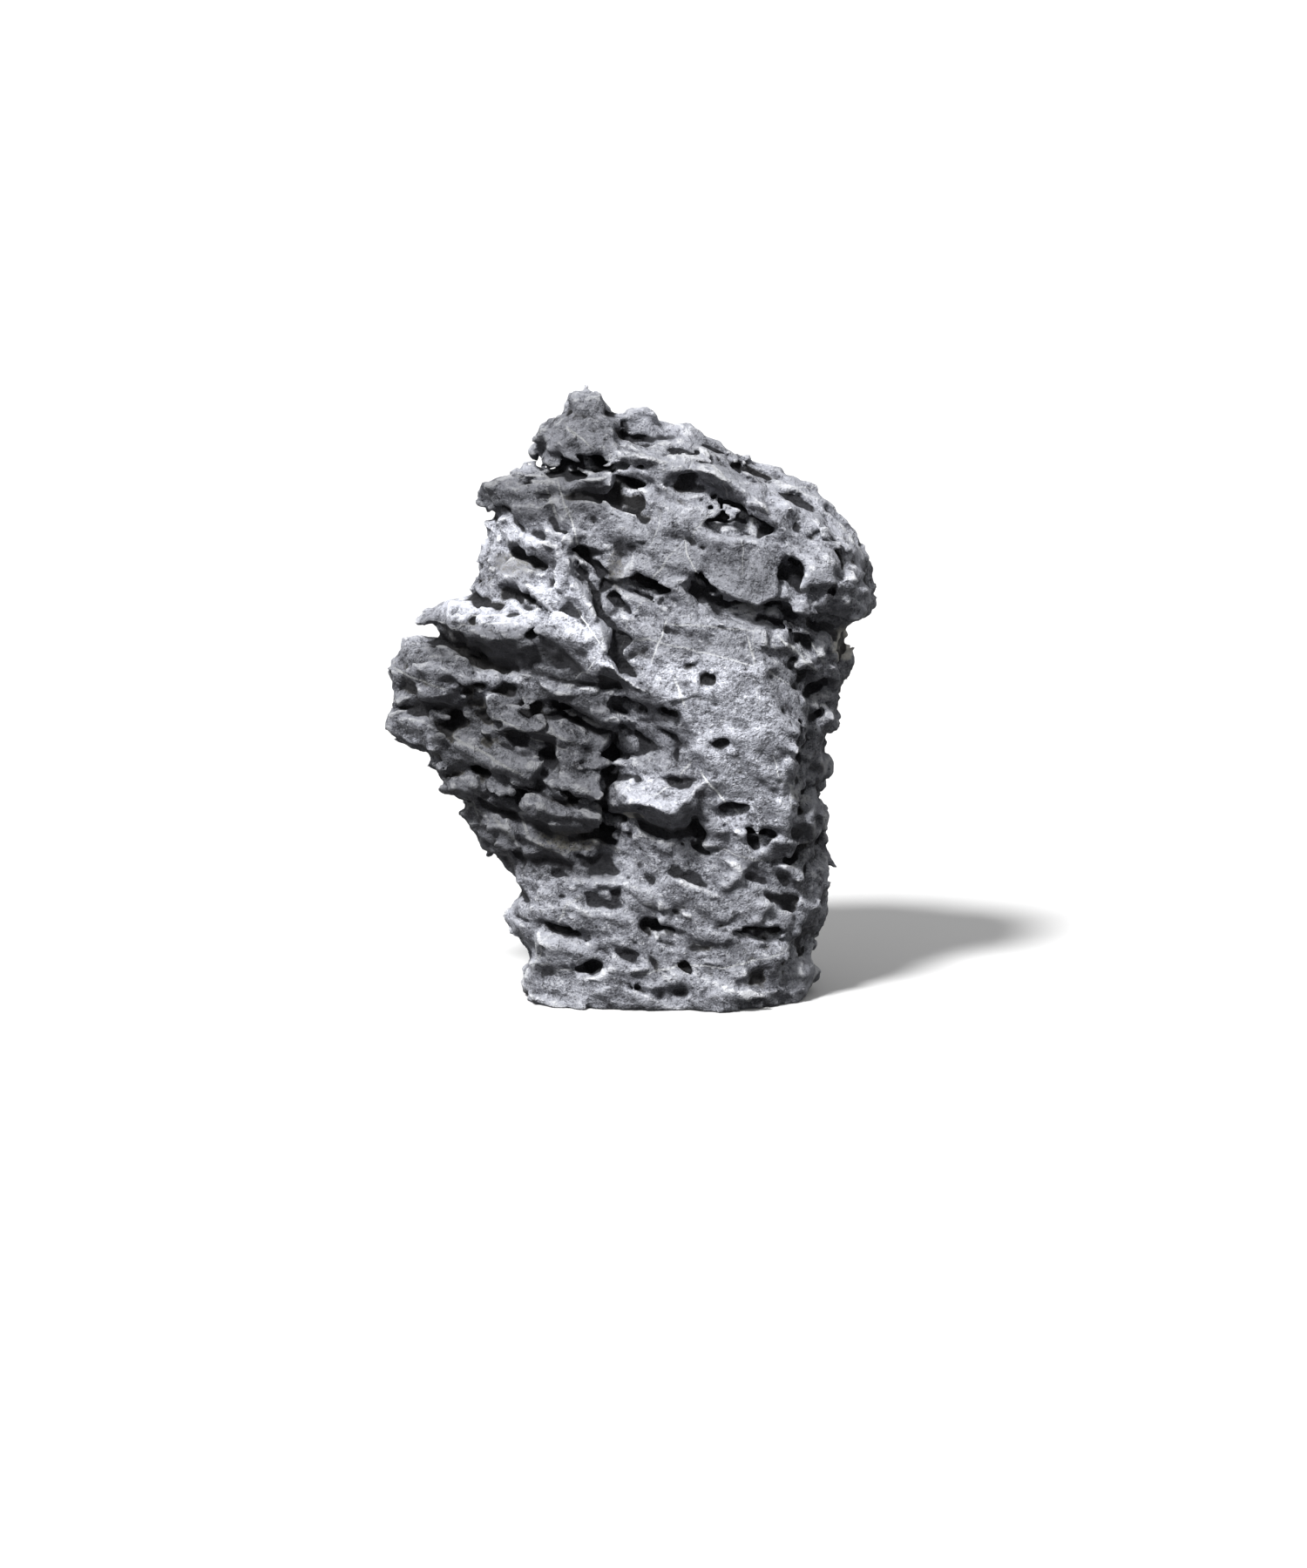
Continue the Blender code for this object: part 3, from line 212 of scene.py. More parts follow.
# Hollows, pits and slits, mm: facing azimuth, centre (along, out, height), half sizes, roll in degrees
hollows = {
    "underTopLobe": (0, (-20, 40, 313), (22, 20, 2.8), 5),
    "browHollowLeft": (0, (-2, 46, 298), (11, 16, 6), -5),
    "browPit": (0, (21, 51, 300), (3, 8, 2.8), 0),
    "browHollowRight": (0, (33, 50, 300), (8, 12, 6.5), -20),
    "browSlit": (0, (62, 56, 281), (20, 24, 6), -3),
    "panelPit": (0, (7, 58, 281), (4, 9, 4.2), 0),
    "panelSmallPit": (0, (9, 60, 267), (3.2, 6, 2.6), 0),
    "middleSlit": (0, (10, 62, 246), (13, 20, 4.2), -10),
    "middleSlitLow": (0, (20, 66, 237), (9, 9, 2.4), -4),
    "boulderGroove": (0, (46, 60, 246), (10, 16, 2.8), -42),
    "underBoulder": (0, (68, 58, 231), (18, 24, 5.5), -4),
    "underRightLobe": (0, (113, 44, 225), (14, 22, 5.5), -20),
    "lobeHollow": (0, (93, 62, 249), (5, 12, 9), 0),
    "lobeCrevice": (0, (86, 64, 250), (2.6, 10, 9), -10),
    "shoulderPit": (0, (100, 60, 278), (6, 7, 2.8), -8),
    "faceSlit": (0, (35, 76, 204), (4, 6, 1.6), 5),
    "facePit": (0, (46, 78, 193), (6, 9, 4.4), 8),
    "faceDimple": (0, (64, 79, 190), (8, 4, 3.4), -20),
    "faceCluster": (0, (54, 78, 157), (5, 8, 3.6), -25),
    "crackRightOfFace": (0, (80, 68, 214), (1.8, 10, 9), -3),
    "spurPit": (0, (-26, 54, 259), (3, 12, 5), 10),
    "spurGroove": (0, (-17, 58, 245), (3.2, 12, 6.4), 25),
    "spurHollow": (0, (-7, 62, 230), (8.5, 13, 3.2), -4),
    "spurHollowLow": (0, (-3, 68, 214), (5, 10, 3.8), -40),
    "recessPitOne": (0, (3, 62, 177), (9, 14, 5.5), -10),
    "recessPitTwo": (0, (22, 72, 175), (7, 10, 4), -20),
    "recessPitThree": (0, (9, 60, 153), (9, 12, 4.4), -10),
    "underTongue": (0, (-18, 52, 166), (13, 15, 4), -12),
    "underTongueLeft": (0, (-35, 50, 171), (8, 13, 2.8), -15),
    "tongueHole": (0, (-44, 53, 142), (5.5, 13, 3.6), 0),
    "tongueSlit": (0, (-29, 56, 126), (8, 13, 3), -8),
    "lowLeftSlit": (0, (-65, 46, 118), (14, 18, 5.5), -14),
    "lowLeftHole": (0, (-83, 38, 133), (4.5, 14, 7), 8),
    "lobeGap": (0, (-98, 32, 159), (9, 16, 5.5), 35),
    "lobeSlit": (0, (-85, 44, 184), (7.5, 13, 2.8), 5),
    "ledgeGap": (0, (-67, 46, 182), (5.5, 11, 3.4), -25),
    "tongueGap": (0, (-78, 44, 164), (8, 13, 3), -5),
    "tonguePit": (0, (-55, 48, 170), (5, 9, 2.6), 0),
    "strataDent": (0, (-62, 48, 152), (9, 9, 3), -25),
    "underLedgeSlit": (0, (-85, 38, 197), (6, 11, 2.8), -35),
    "underLedgePit": (0, (-52, 54, 218), (4.5, 9, 3), 0),
    "leftCavity": (0, (-63, 46, 255), (16, 18, 5), -3),
    "leftSlot": (0, (-64, 46, 238), (19, 15, 2.6), -17),
    "leftNotch": (0, (-70, 32, 283), (6, 15, 3), 0),
    "bossHole": (0, (7, 76, 117), (3, 9, 3.4), 0),
    "grooveUpper": (0, (-12, 47, 139), (3.6, 13, 5), 0),
    "grooveMiddle": (0, (-8, 50, 109), (8, 14, 3.2), -15),
    "grooveLow": (0, (-11, 49, 93), (3.4, 13, 5.5), 25),
    "lumpPit": (0, (2, 62, 99), (2.8, 9, 2.6), 0),
    "footHoleLeft": (0, (43, 66, 102), (7, 15, 6.5), 0),
    "footHoleRight": (0, (73, 62, 103), (8, 17, 6), 0),
    "footHoleUpper": (0, (62, 70, 118), (9, 13, 5.5), 12),
    "stripSlit": (0, (94, 60, 202), (6, 10, 2.8), 10),
    "stripHole": (0, (100, 56, 188), (5, 15, 6), 0),
    "stripScoop": (0, (110, 40, 180), (10, 14, 8), 15),
    "stripPit": (0, (109, 38, 167), (5, 12, 3.2), 0),
    "stripGroove": (0, (93, 62, 161), (3, 10, 5.4), 5),
    "stripLowHollow": (0, (100, 50, 119), (9, 15, 6), 0),
    "stripLowSlit": (0, (98, 48, 88), (9, 13, 6), 0),
    "stripFootPit": (0, (112, 24, 87), (3.4, 11, 5), 0),
    "footSlitLeft": (0, (-38, 50, 44), (14, 16, 3.4), -16),
    "footSlitMiddle": (0, (18, 62, 46), (12, 16, 3.6), -12),
    "footPit": (0, (-8, 60, 60), (5, 12, 4), 0),
    "footSlitRight": (0, (74, 60, 44), (15, 18, 4), -14),
    "footPitRight": (0, (90, 52, 24), (5, 12, 4.4), 0),
    "footPitLeft": (0, (-22, 56, 20), (6, 12, 3.4), -10),
    "recessPitFour": (0, (22, 66, 161), (6, 9, 3.2), -15),
    "stripMiddleScoop": (0, (101, 50, 150), (8, 14, 8), 10),
    "stripUpperScoop": (0, (104, 54, 206), (7, 12, 5), -15),
    "shoulderHollow": (0, (118, 44, 262), (6, 9, 3.4), -10),
    "backSlit": (178, (-8, 78, 236), (32, 24, 4.4), 14),
    "backHollow": (186, (20, 82, 186), (13, 22, 8), 20),
    "backCavity": (172, (-52, 74, 222), (18, 22, 5.4), 18),
    "backPit": (180, (-40, 80, 166), (8, 16, 6), 10),
    "backLowSlit": (184, (30, 72, 108), (24, 20, 4.6), 16),
    "backGroove": (180, (6, 80, 140), (5, 16, 14), -18),
    "backCrownPit": (178, (-40, 46, 284), (12, 18, 4.4), 18),
    "backSideSlit": (190, (76, 52, 206), (18, 24, 4.4), 18),
    "backSidePit": (188, (64, 50, 150), (9, 18, 5), 14),
    "backFootSlit": (178, (-44, 64, 44), (22, 20, 4.4), 14),
    "backHeelPit": (184, (20, 70, 50), (8, 16, 6), 10),
}

# How the stone is worked out: grid step, softness of edges and the bends (size, amount) of its
# coordinates, all mm; the blurs that find edges and dents are in grid steps
stone = {
    "step": 1.3, "low": (-146.0, -92.0, -3.0), "high": (146.0, 98.0, 360.0),
    "mapStep": 0.6, "mapMargin": 12, "farX": (-190, 190), "farHeights": (-60, 400), "farthest": 40,
    "rimOut": 8, "rimEdge": 3.0, "leastSlope": 0.8, "band": 7.0, "bandMargin": 6,
    "hollowEdge": 3.0, "hollowClimb": 1.5, "mostClimb": 0.6,
    "warps": ((34.0, 2.2), (13.0, 1.5), (6.0, 0.8)), "seed": 11,
    "beddingDip": 21.0, "beddingSide": 0.18, "triangles": 196000,
    "wearAndHighlightBlur": 1, "dentBlur": 5, "shadeBlur": 12, "blurReach": 24,
}

# Plates of rock on the back, mm and degrees; each range is drawn from evenly
plates = {
    "count": 46, "seed": 7, "sides": 6, "x": (-112, 112), "heights": (12, 318), "length": (14, 34),
    "thickness": (6, 13), "proud": (1, 6), "depth": 30, "leastReach": 40, "margin": 1.06,
    "turnPerMm": 0.36, "dip": 20, "edge": 2.2, "join": 3.0, "cornerTurn": 0.25, "lean": 0.25,
}

# Weathering, mm: facets are (size, jump, lean), scallops (size, depth)
relief = {
    "wobble": 1.6, "wobbleSize": 9.0,
    "faceCalm": 0.55, "calmX": (0, 10, 88, 96), "calmHeights": (104, 114, 285, 300), "calmDepth": (-50, -56),
    "lowLeftX": (20, -10), "lowLeftHeights": (215, 190),
    "facets": ((24.0, 2.2, 0.18), (11.0, 1.3, 0.22), (5.5, 0.7, 0.22)), "facetStretch": (1.35, 1.35, 0.75),
    "scallops": ((14.0, 2.6), (6.5, 1.9), (3.8, 0.8)), "scallopStretch": (1.5, 1.2, 0.8),
    "scallopMiddle": 0.45, "scallopLeast": 0.4, "scallopMore": 1.2,
    "beddingSize": 4.5, "beddingRun": 34.0, "beddingDepth": 0.35, "beddingMoreLowLeft": 0.8,
    "pitSize": 7.5, "pitShare": 0.22, "pitDepth": 3.2, "pitEdge": (0.34, 0.12),
    "crackSize": 26.0, "crackDepth": 1.6, "crackEdge": (0.06, 0.01), "crackBeds": (-0.2, 0.3),
    "grainSize": 2.6, "grainDepth": 0.25, "fade": 2.5,
}
reliefSeeds = {"wobble": 50, "facets": 60, "beds": 65, "pits": 66, "cracks": 67, "grain": 70, "scallops": 80}

lattice = 32  # the random numbers of the noises repeat after so many cells
latticeShift = np.float32(1000.0)  # cells, so that no cell number is negative
cellPoints, cellLean = (0.08, 0.92), 0.7  # where a cell's point may lie, and how steep its facet is


def smoothStep(low, high, value):
    # 0 below low, 1 above high, and the cubic 3t^2 - 2t^3 between
    t = np.clip((value - low) / (high - low), 0.0, 1.0)
    return t * t * (3 - 2 * t)


def softMax(a, b, width):
    # the larger of two distances, with the crease between them rounded over the width
    overlap = np.maximum(width - np.abs(a - b), 0.0) / width
    return np.maximum(a, b) + overlap * overlap * (width * 0.25)


def within(value, low, lowFull, highFull, high):
    # 1 between the two inner limits, 0 past the outer ones, smooth between
    return smoothStep(low, lowFull, value) * smoothStep(high, highFull, value)


def softMin(a, b, width):
    # the smaller of two distances, rounded over the width: the larger one turned over
    return -softMax(-a, -b, width)


def facing(azimuth):
    # turns (along, out, height) of something that faces the azimuth into x, y, z
    return np.array(Matrix.Rotation(math.radians(azimuth), 3, "Z") @ Matrix.Diagonal((1.0, -1.0, 1.0)))


def backReach(x, height):
    # how far behind the axis the back lies, from the three given points nearest to the place
    points = np.array([point for line in backLines.values() for point in line], float)
    gaps = np.hypot(points[:, 0] - x, points[:, 1] - height)
    near = gaps.argsort()[:3]
    weights = 1 / (gaps[near] + 1)
    return float((points[near, 2] * weights).sum() / weights.sum())


def insideOutline(x, height):
    # even number of crossings of a level line to the right: outside; odd: inside
    inside = False
    for (x1, z1), (x2, z2) in zip(outline, outline[1:] + outline[:1]):
        if (z1 > height) != (z2 > height) and x < (x2 - x1) * (height - z1) / (z2 - z1) + x1:
            inside = not inside
    return inside


def scatteredPlates():
    # flat-lying six-sided plates at seeded places on the back, along the bedding
    rng = random.Random(plates["seed"])
    made = []
    while len(made) < plates["count"]:
        x, height = rng.uniform(*plates["x"]), rng.uniform(*plates["heights"])
        length, thickness = rng.uniform(*plates["length"]), rng.uniform(*plates["thickness"])
        proud = rng.uniform(*plates["proud"])
        turns = [rng.uniform(-plates["cornerTurn"], plates["cornerTurn"]) for _ in range(plates["sides"])]
        reach = backReach(x, height)
        azimuth = 180 - plates["turnPerMm"] * x
        towards = math.radians(azimuth)
        along = x * math.cos(towards) + reach * math.sin(towards)
        out = x * math.sin(towards) - reach * math.cos(towards) + proud
        dip = math.radians(-plates["dip"] * math.cos(towards))
        front = []
        for i, turn in enumerate(turns):
            angle = 2 * math.pi * (i + turn) / plates["sides"]
            run, rise = length * math.cos(angle), thickness * math.sin(angle)
            front.append((along + run * math.cos(dip) - rise * math.sin(dip), out - plates["lean"] * rise,
                          height + run * math.sin(dip) + rise * math.cos(dip)))
        wide = [(plates["margin"] * (a * math.cos(towards) + o * math.sin(towards)), z) for a, o, z in front]
        if reach > plates["leastReach"] and all(insideOutline(*corner) for corner in wide):
            made.append((azimuth, front, out - plates["depth"]))
    return made


def platePlanes(azimuth, front, inner):
    # the planes round a plate, each once: convex hull of its front points and of the same points moved in
    corners = np.array(front + [(along, inner, height) for along, _, height in front]) @ facing(azimuth).T
    bm = bmesh.new()
    bmesh.ops.convex_hull(bm, input=[bm.verts.new(corner) for corner in corners])
    bmesh.ops.recalc_face_normals(bm, faces=bm.faces)
    planes = [(*face.normal, face.normal.dot(face.verts[0].co)) for face in bm.faces]
    bm.free()
    return np.unique(np.round(planes, 2), axis=0), corners.min(axis=0), corners.max(axis=0)


def reliefTriangles(lines):
    # joins the points of the lines and of the outline into triangles that keep each line as edges
    points, edges, numbers = [], [], {}
    ring = [(x, height, stone["rimOut"]) for x, height in outline]
    for line in list(lines.values()) + [ring + ring[:1]]:
        here = []
        for x, height, out in line:
            if (x, height) not in numbers:
                numbers[(x, height)] = len(points)
                points.append((x, height, out))
            here.append(numbers[(x, height)])
        edges += zip(here, here[1:])
    for x in stone["farX"]:
        for height in stone["farHeights"]:
            points.append((x, height, 0))
    flat = [Vector((x, height)) for x, height, _ in points]
    sameCorner = 1e-4
    placed, _, triangles, sources, _, _ = delaunay_2d_cdt(flat, edges, [], 0, sameCorner)
    known = np.array(points, float)
    places = np.array([tuple(place) for place in placed])
    nearest = [source[0] if source else np.hypot(*(known[:, :2] - place).T).argmin()
               for place, source in zip(places, sources)]
    return places, known[nearest, 2], np.array(triangles)


def reliefMap(lines, axisX, axisZ):
    # how far out the surface lies over a grid of x and height: each triangle is filled by its corner
    # weights, a hair past its edges so that no gap stays between two
    places, outs, triangles = reliefTriangles(lines)
    outMap = np.zeros((len(axisX), len(axisZ)), np.float32)
    for triangle in triangles:
        a, b, c = places[triangle]
        low, high = np.minimum(np.minimum(a, b), c), np.maximum(np.maximum(a, b), c)
        across = slice(*np.searchsorted(axisX, (low[0] - 1, high[0] + 1)))
        up = slice(*np.searchsorted(axisZ, (low[1] - 1, high[1] + 1)))
        x, z = np.meshgrid(axisX[across], axisZ[up], indexing="ij")
        area = (b[0] - a[0]) * (c[1] - a[1]) - (c[0] - a[0]) * (b[1] - a[1])
        if abs(area) < 1e-6 or x.size == 0:
            continue
        u = ((x - a[0]) * (c[1] - a[1]) - (c[0] - a[0]) * (z - a[1])) / area
        v = ((b[0] - a[0]) * (z - a[1]) - (x - a[0]) * (b[1] - a[1])) / area
        inside = (u > -1e-3) & (v > -1e-3) & (u + v < 1.001)
        first, second, third = outs[triangle]
        value = first + (second - first) * u + (third - first) * v
        outMap[across, up][inside] = value[inside]
    return outMap


def polygonDistance(corners, x, z):
    # distance to the closed line through the corners, negative inside
    nearest = np.full(x.shape, np.inf, np.float32)
    inside = np.zeros(x.shape, bool)
    corners = np.array(corners, float)
    for (x1, z1), (x2, z2) in zip(corners, np.roll(corners, -1, axis=0)):
        run, rise = x2 - x1, z2 - z1
        t = np.clip(((x - x1) * run + (z - z1) * rise) / (run * run + rise * rise), 0, 1)
        nearest = np.minimum(nearest, (x - x1 - t * run) ** 2 + (z - z1 - t * rise) ** 2)
        if rise:
            inside ^= ((z1 > z) != (z2 > z)) & (x < run * (z - z1) / rise + x1)
    return np.where(inside, -np.sqrt(nearest), np.sqrt(nearest))


def readMap(axisX, axisZ, values, x, z):
    # the map's value at any x and height, straight between the four around it; the last cell ends the map
    step = float(axisX[1] - axisX[0])
    u = np.clip((x - axisX[0]) / step, 0, len(axisX) - 1.001)
    v = np.clip((z - axisZ[0]) / step, 0, len(axisZ) - 1.001)
    i, j = u.astype(np.int32), v.astype(np.int32)
    u, v = u - i, v - j
    return ((values[i, j] * (1 - u) + values[i + 1, j] * u) * (1 - v)
            + (values[i, j + 1] * (1 - u) + values[i + 1, j + 1] * u) * v)


def smoothVolume(axes, size, seed):
    # random numbers on a coarse lattice, spread to the grid one axis at a time with a smooth step
    rng = np.random.default_rng(seed)
    spreads = []
    for axis in axes:
        place = (axis - axis[0]) / size
        cell = np.floor(place).astype(int)
        t = place - cell
        t = t * t * (3 - 2 * t)
        spread = np.zeros((len(axis), cell.max() + 2), np.float32)
        spread[np.arange(len(axis)), cell] = 1 - t
        spread[np.arange(len(axis)), cell + 1] = t
        spreads.append(spread)
    volume = rng.uniform(-1, 1, [spread.shape[1] for spread in spreads]).astype(np.float32)
    for axis, spread in enumerate(spreads):
        volume = np.moveaxis(np.tensordot(spread, volume, axes=(1, axis)), 0, axis)
    return volume


def latticeNoise(points, size, seed):
    # random numbers at the corners of a lattice, blended with a smooth step between the eight around a point
    table = np.random.default_rng(seed).uniform(-1, 1, (lattice, lattice, lattice)).astype(np.float32)
    place = points / np.asarray(size, np.float32) + latticeShift
    cell = np.floor(place).astype(np.int32)
    t = (place - cell).astype(np.float32)
    t = t * t * (3 - 2 * t)
    total = np.zeros(len(points), np.float32)
    for corner in range(8):
        step = np.array((corner & 1, corner >> 1 & 1, corner >> 2 & 1), np.int32)
        at = (cell + step) % lattice
        weight = np.prod(np.where(step == 1, t, 1 - t), axis=1)
        total += weight * table[at[:, 0], at[:, 1], at[:, 2]]
    return total


def cellNoise(points, size, seed):
    # one seeded point in each cell of a lattice. Gives how near the nearest is, in cells, its own random
    # number, and a tilt: the gap to it along a random direction of its own, which makes flat chipped facets
    rng = np.random.default_rng(seed)
    jitter = rng.uniform(*cellPoints, (lattice, lattice, lattice, 3)).astype(np.float32)
    value = rng.uniform(0, 1, (lattice, lattice, lattice)).astype(np.float32)
    lean = rng.normal(0, cellLean, (lattice, lattice, lattice, 3)).astype(np.float32)
    place = (points / np.asarray(size, np.float32) + latticeShift).astype(np.float32)
    cell = np.floor(place).astype(np.int32)
    nearest = np.full(len(points), np.inf, np.float32)
    owner = np.zeros(len(points), np.float32)
    tilt = np.zeros(len(points), np.float32)
    for number in range(27):
        step = np.array((number % 3 - 1, number // 3 % 3 - 1, number // 9 - 1), np.int32)
        at = (cell + step) % lattice
        gap = cell + step + jitter[at[:, 0], at[:, 1], at[:, 2]] - place
        reach = np.einsum("ij,ij->i", gap, gap)
        closer = reach < nearest
        nearest[closer] = reach[closer]
        owner[closer] = value[at[closer, 0], at[closer, 1], at[closer, 2]]
        tilt[closer] = np.einsum("ij,ij->i", gap[closer], lean[at[closer, 0], at[closer, 1], at[closer, 2]])
    return np.sqrt(nearest), owner, tilt


def spanOf(axes, low, high, margin):
    # the grid's index ranges that hold a box and a margin round it
    return tuple(slice(max(int(np.searchsorted(axis, a - margin)), 0), int(np.searchsorted(axis, b + margin)))
                 for axis, a, b in zip(axes, low, high))


def stoneField():
    # distance to the stone's surface over a grid, negative inside: the room between the two reliefs and
    # within the outline, less the hollows, on coordinates bent by smooth noise so that no face stays plain
    step = stone["step"]
    axes = [np.arange(a, b, step, dtype=np.float32) for a, b in zip(stone["low"], stone["high"])]
    bent = list(np.meshgrid(*axes, indexing="ij"))
    for number, (size, amount) in enumerate(stone["warps"]):
        for i in range(3):
            bent[i] = bent[i] + amount * smoothVolume(axes, size, stone["seed"] + 10 * number + i)
    axisX, _, axisZ = [np.arange(a - stone["mapMargin"], b + stone["mapMargin"], stone["mapStep"])
                       for a, b in zip(stone["low"], stone["high"])]
    front = readMap(axisX, axisZ, reliefMap(frontLines, axisX, axisZ), bent[0], bent[2])
    field = -bent[1] - front.astype(np.float32)
    back = readMap(axisX, axisZ, reliefMap(backLines, axisX, axisZ), bent[0], bent[2])
    field = softMax(field, bent[1] - back.astype(np.float32), stone["rimEdge"])
    slope = np.sqrt(sum(part * part for part in np.gradient(field, step)))
    field = np.clip(field / np.maximum(slope, stone["leastSlope"]), -stone["farthest"], stone["farthest"])
    say("front and back")
    for azimuth, front, inner in scatteredPlates():
        planes, low, high = platePlanes(azimuth, front, inner)
        span = spanOf(axes, low, high, stone["band"] + stone["bandMargin"])
        x, y, z = [part[span] for part in bent]
        plate = np.full(x.shape, -np.inf, np.float32)
        for a, b, c, d in planes.astype(np.float32):
            plate = softMax(plate, a * x + b * y + c * z - d, plates["edge"])
        field[span] = softMin(field[span], plate, plates["join"])
    away = polygonDistance(outline, *np.meshgrid(axisX, axisZ, indexing="ij"))
    rim = readMap(axisX, axisZ, away, bent[0], bent[2]).astype(np.float32)
    field = softMax(field, rim, stone["rimEdge"]).astype(np.float32)
    say(f"{plates['count']} plates and the outline")
    for azimuth, centre, half, roll in hollows.values():
        turn = facing(azimuth)
        centre = turn @ np.array(centre, float)
        span = spanOf(axes, centre - max(half), centre + max(half), stone["band"] + stone["bandMargin"])
        gap = np.stack([part[span] - c for part, c in zip(bent, centre)], axis=-1) @ turn
        climb = min(stone["mostClimb"], stone["hollowClimb"] * half[2] / half[1])
        rise = gap[..., 2] + climb * gap[..., 1]
        turned = math.radians(roll)
        along = gap[..., 0] * math.cos(turned) + rise * math.sin(turned)
        up = rise * math.cos(turned) - gap[..., 0] * math.sin(turned)
        scaled = [part / h for part, h in zip((along, gap[..., 1], up), half)]
        reach = np.sqrt(sum(part * part for part in scaled)) + 1e-3  # 1 on the ellipsoid, never 0
        steepness = np.sqrt(sum((part / h) ** 2 for part, h in zip(scaled, half))) + 1e-4
        ball = (reach * (reach - 1) / steepness).astype(np.float32)
        field[span] = softMax(field[span], -ball, stone["hollowEdge"])
    say(f"{len(hollows)} hollows")
    return axes, field


def addRelief(axes, field):
    # everything finer, worked out only near the surface: flat chipped facets, cups, bedding ribs, pits,
    # cracks and grain; a positive number takes stone away
    near = np.nonzero(np.abs(field) < stone["band"])
    points = np.stack([axis[i] for axis, i in zip(axes, near)], axis=1)
    wobble = [latticeNoise(points, relief["wobbleSize"], reliefSeeds["wobble"] + i) for i in range(3)]
    bent = points + np.stack(wobble, axis=1) * relief["wobble"]
    dip = math.radians(stone["beddingDip"])
    across = np.array((math.sin(dip), stone["beddingSide"], math.cos(dip)))
    across /= np.linalg.norm(across)
    run = np.cross(across, (0, 1, 0))
    run /= np.linalg.norm(run)
    bedded = bent @ np.stack((run, np.cross(across, run), across), axis=1)
    lowLeft = smoothStep(*relief["lowLeftX"], points[:, 0])
    lowLeft *= smoothStep(*relief["lowLeftHeights"], points[:, 2])
    face = within(points[:, 0], *relief["calmX"]) * within(points[:, 2], *relief["calmHeights"])
    calm = 1 - relief["faceCalm"] * face * smoothStep(*relief["calmDepth"], points[:, 1])

    change = np.zeros(len(points), np.float32)
    for number, (size, jump, lean) in enumerate(relief["facets"]):
        _, owner, tilt = cellNoise(bedded / relief["facetStretch"], size, reliefSeeds["facets"] + number)
        change += (jump * (owner - 0.5) + lean * size * tilt) * calm
    for number, (size, depth) in enumerate(relief["scallops"]):
        reach, owner, _ = cellNoise(bedded / relief["scallopStretch"], size, reliefSeeds["scallops"] + number)
        share = relief["scallopLeast"] + relief["scallopMore"] * owner
        change += depth * (relief["scallopMiddle"] - reach * reach) * share * calm
    bed = (relief["beddingRun"], relief["beddingRun"], relief["beddingSize"])
    beds = latticeNoise(bedded, bed, reliefSeeds["beds"])
    change += (relief["beddingDepth"] + relief["beddingMoreLowLeft"] * lowLeft) * beds * calm
    hole, owner, _ = cellNoise(bent, relief["pitSize"], reliefSeeds["pits"])
    change += relief["pitDepth"] * smoothStep(*relief["pitEdge"], hole) * (owner < relief["pitShare"])
    crack = np.abs(latticeNoise(bent, relief["crackSize"], reliefSeeds["cracks"]))
    broken = smoothStep(*relief["crackBeds"], beds)
    change += relief["crackDepth"] * smoothStep(*relief["crackEdge"], crack) * broken
    change += relief["grainDepth"] * latticeNoise(points, relief["grainSize"], reliefSeeds["grain"])
    fade = smoothStep(stone["band"], stone["band"] - relief["fade"], np.abs(field[near]))
    taken = np.zeros_like(field)
    taken[near] = change * fade
    for axis in range(3):  # 1, 4, 1 over 6 along each axis, so that no sliver stands up between two facets
        taken = (np.roll(taken, 1, axis) + 4 * taken + np.roll(taken, -1, axis)) / 6
    say(f"relief on {len(points)} points")
    return field + taken


def surfaceNet(axes, field):
    # one point in each grid cell that the surface crosses, at the mean of the crossings on the cell's edges,
    # and one four-sided face round each grid edge that it crosses
    step = stone["step"]
    inside = field < 0
    cells = np.array(field.shape) - 1
    total = np.zeros((*cells, 3), np.float32)
    count = np.zeros(cells, np.float32)
    quads = []
    number = -np.ones(cells, np.int64)
    edges = []
    for axis in range(3):
        low = [slice(None)] * 3
        high = [slice(None)] * 3
        low[axis], high[axis] = slice(0, -1), slice(1, None)
        low, high = tuple(low), tuple(high)
        at = np.stack(np.nonzero(inside[low] != inside[high]), axis=1)
        near = field[low][tuple(at.T)]
        far = field[high][tuple(at.T)]
        cross = at.astype(np.float32)
        cross[:, axis] += near / (near - far)
        u, v = (axis + 1) % 3, (axis + 2) % 3
        good = (at[:, u] > 0) & (at[:, v] > 0) & (at[:, u] < cells[u]) & (at[:, v] < cells[v])
        at, cross, leaving = at[good], cross[good], near[good] < 0
        corners = []
        for du, dv in ((0, 0), (1, 0), (1, 1), (0, 1)):
            cell = at.copy()
            cell[:, u] -= du
            cell[:, v] -= dv
            corners.append(cell)
            flat = np.ravel_multi_index(tuple(cell.T), cells)
            for i in range(3):
                total[..., i] += np.bincount(flat, cross[:, i], total[..., 0].size).reshape(cells)
            count += np.bincount(flat, minlength=count.size).reshape(cells)
        edges.append((corners, leaving))
    used = count > 0
    number[used] = np.arange(used.sum())
    points = total[used] / count[used][:, None] * step + np.array([axis[0] for axis in axes])
    for corners, leaving in edges:
        face = np.stack([number[tuple(cell.T)] for cell in corners], axis=1)
        quads.append(np.where(leaving[:, None], face, face[:, ::-1]))
    return points, np.vstack(quads)


def largestPiece(points, quads):
    # keeps the one skin of the stone: each point takes the lowest number that its faces know, until
    # none changes
    label = np.arange(len(points))
    changed = True
    while changed:
        low = label[quads].min(axis=1)
        fresh = label.copy()
        for corner in range(4):
            np.minimum.at(fresh, quads[:, corner], low)
        fresh = fresh[fresh]
        changed = (fresh != label).any()
        label = fresh
    most = np.bincount(label).argmax()
    kept = label == most
    number = np.cumsum(kept) - 1
    return points[kept], number[quads[kept[quads[:, 0]]]]


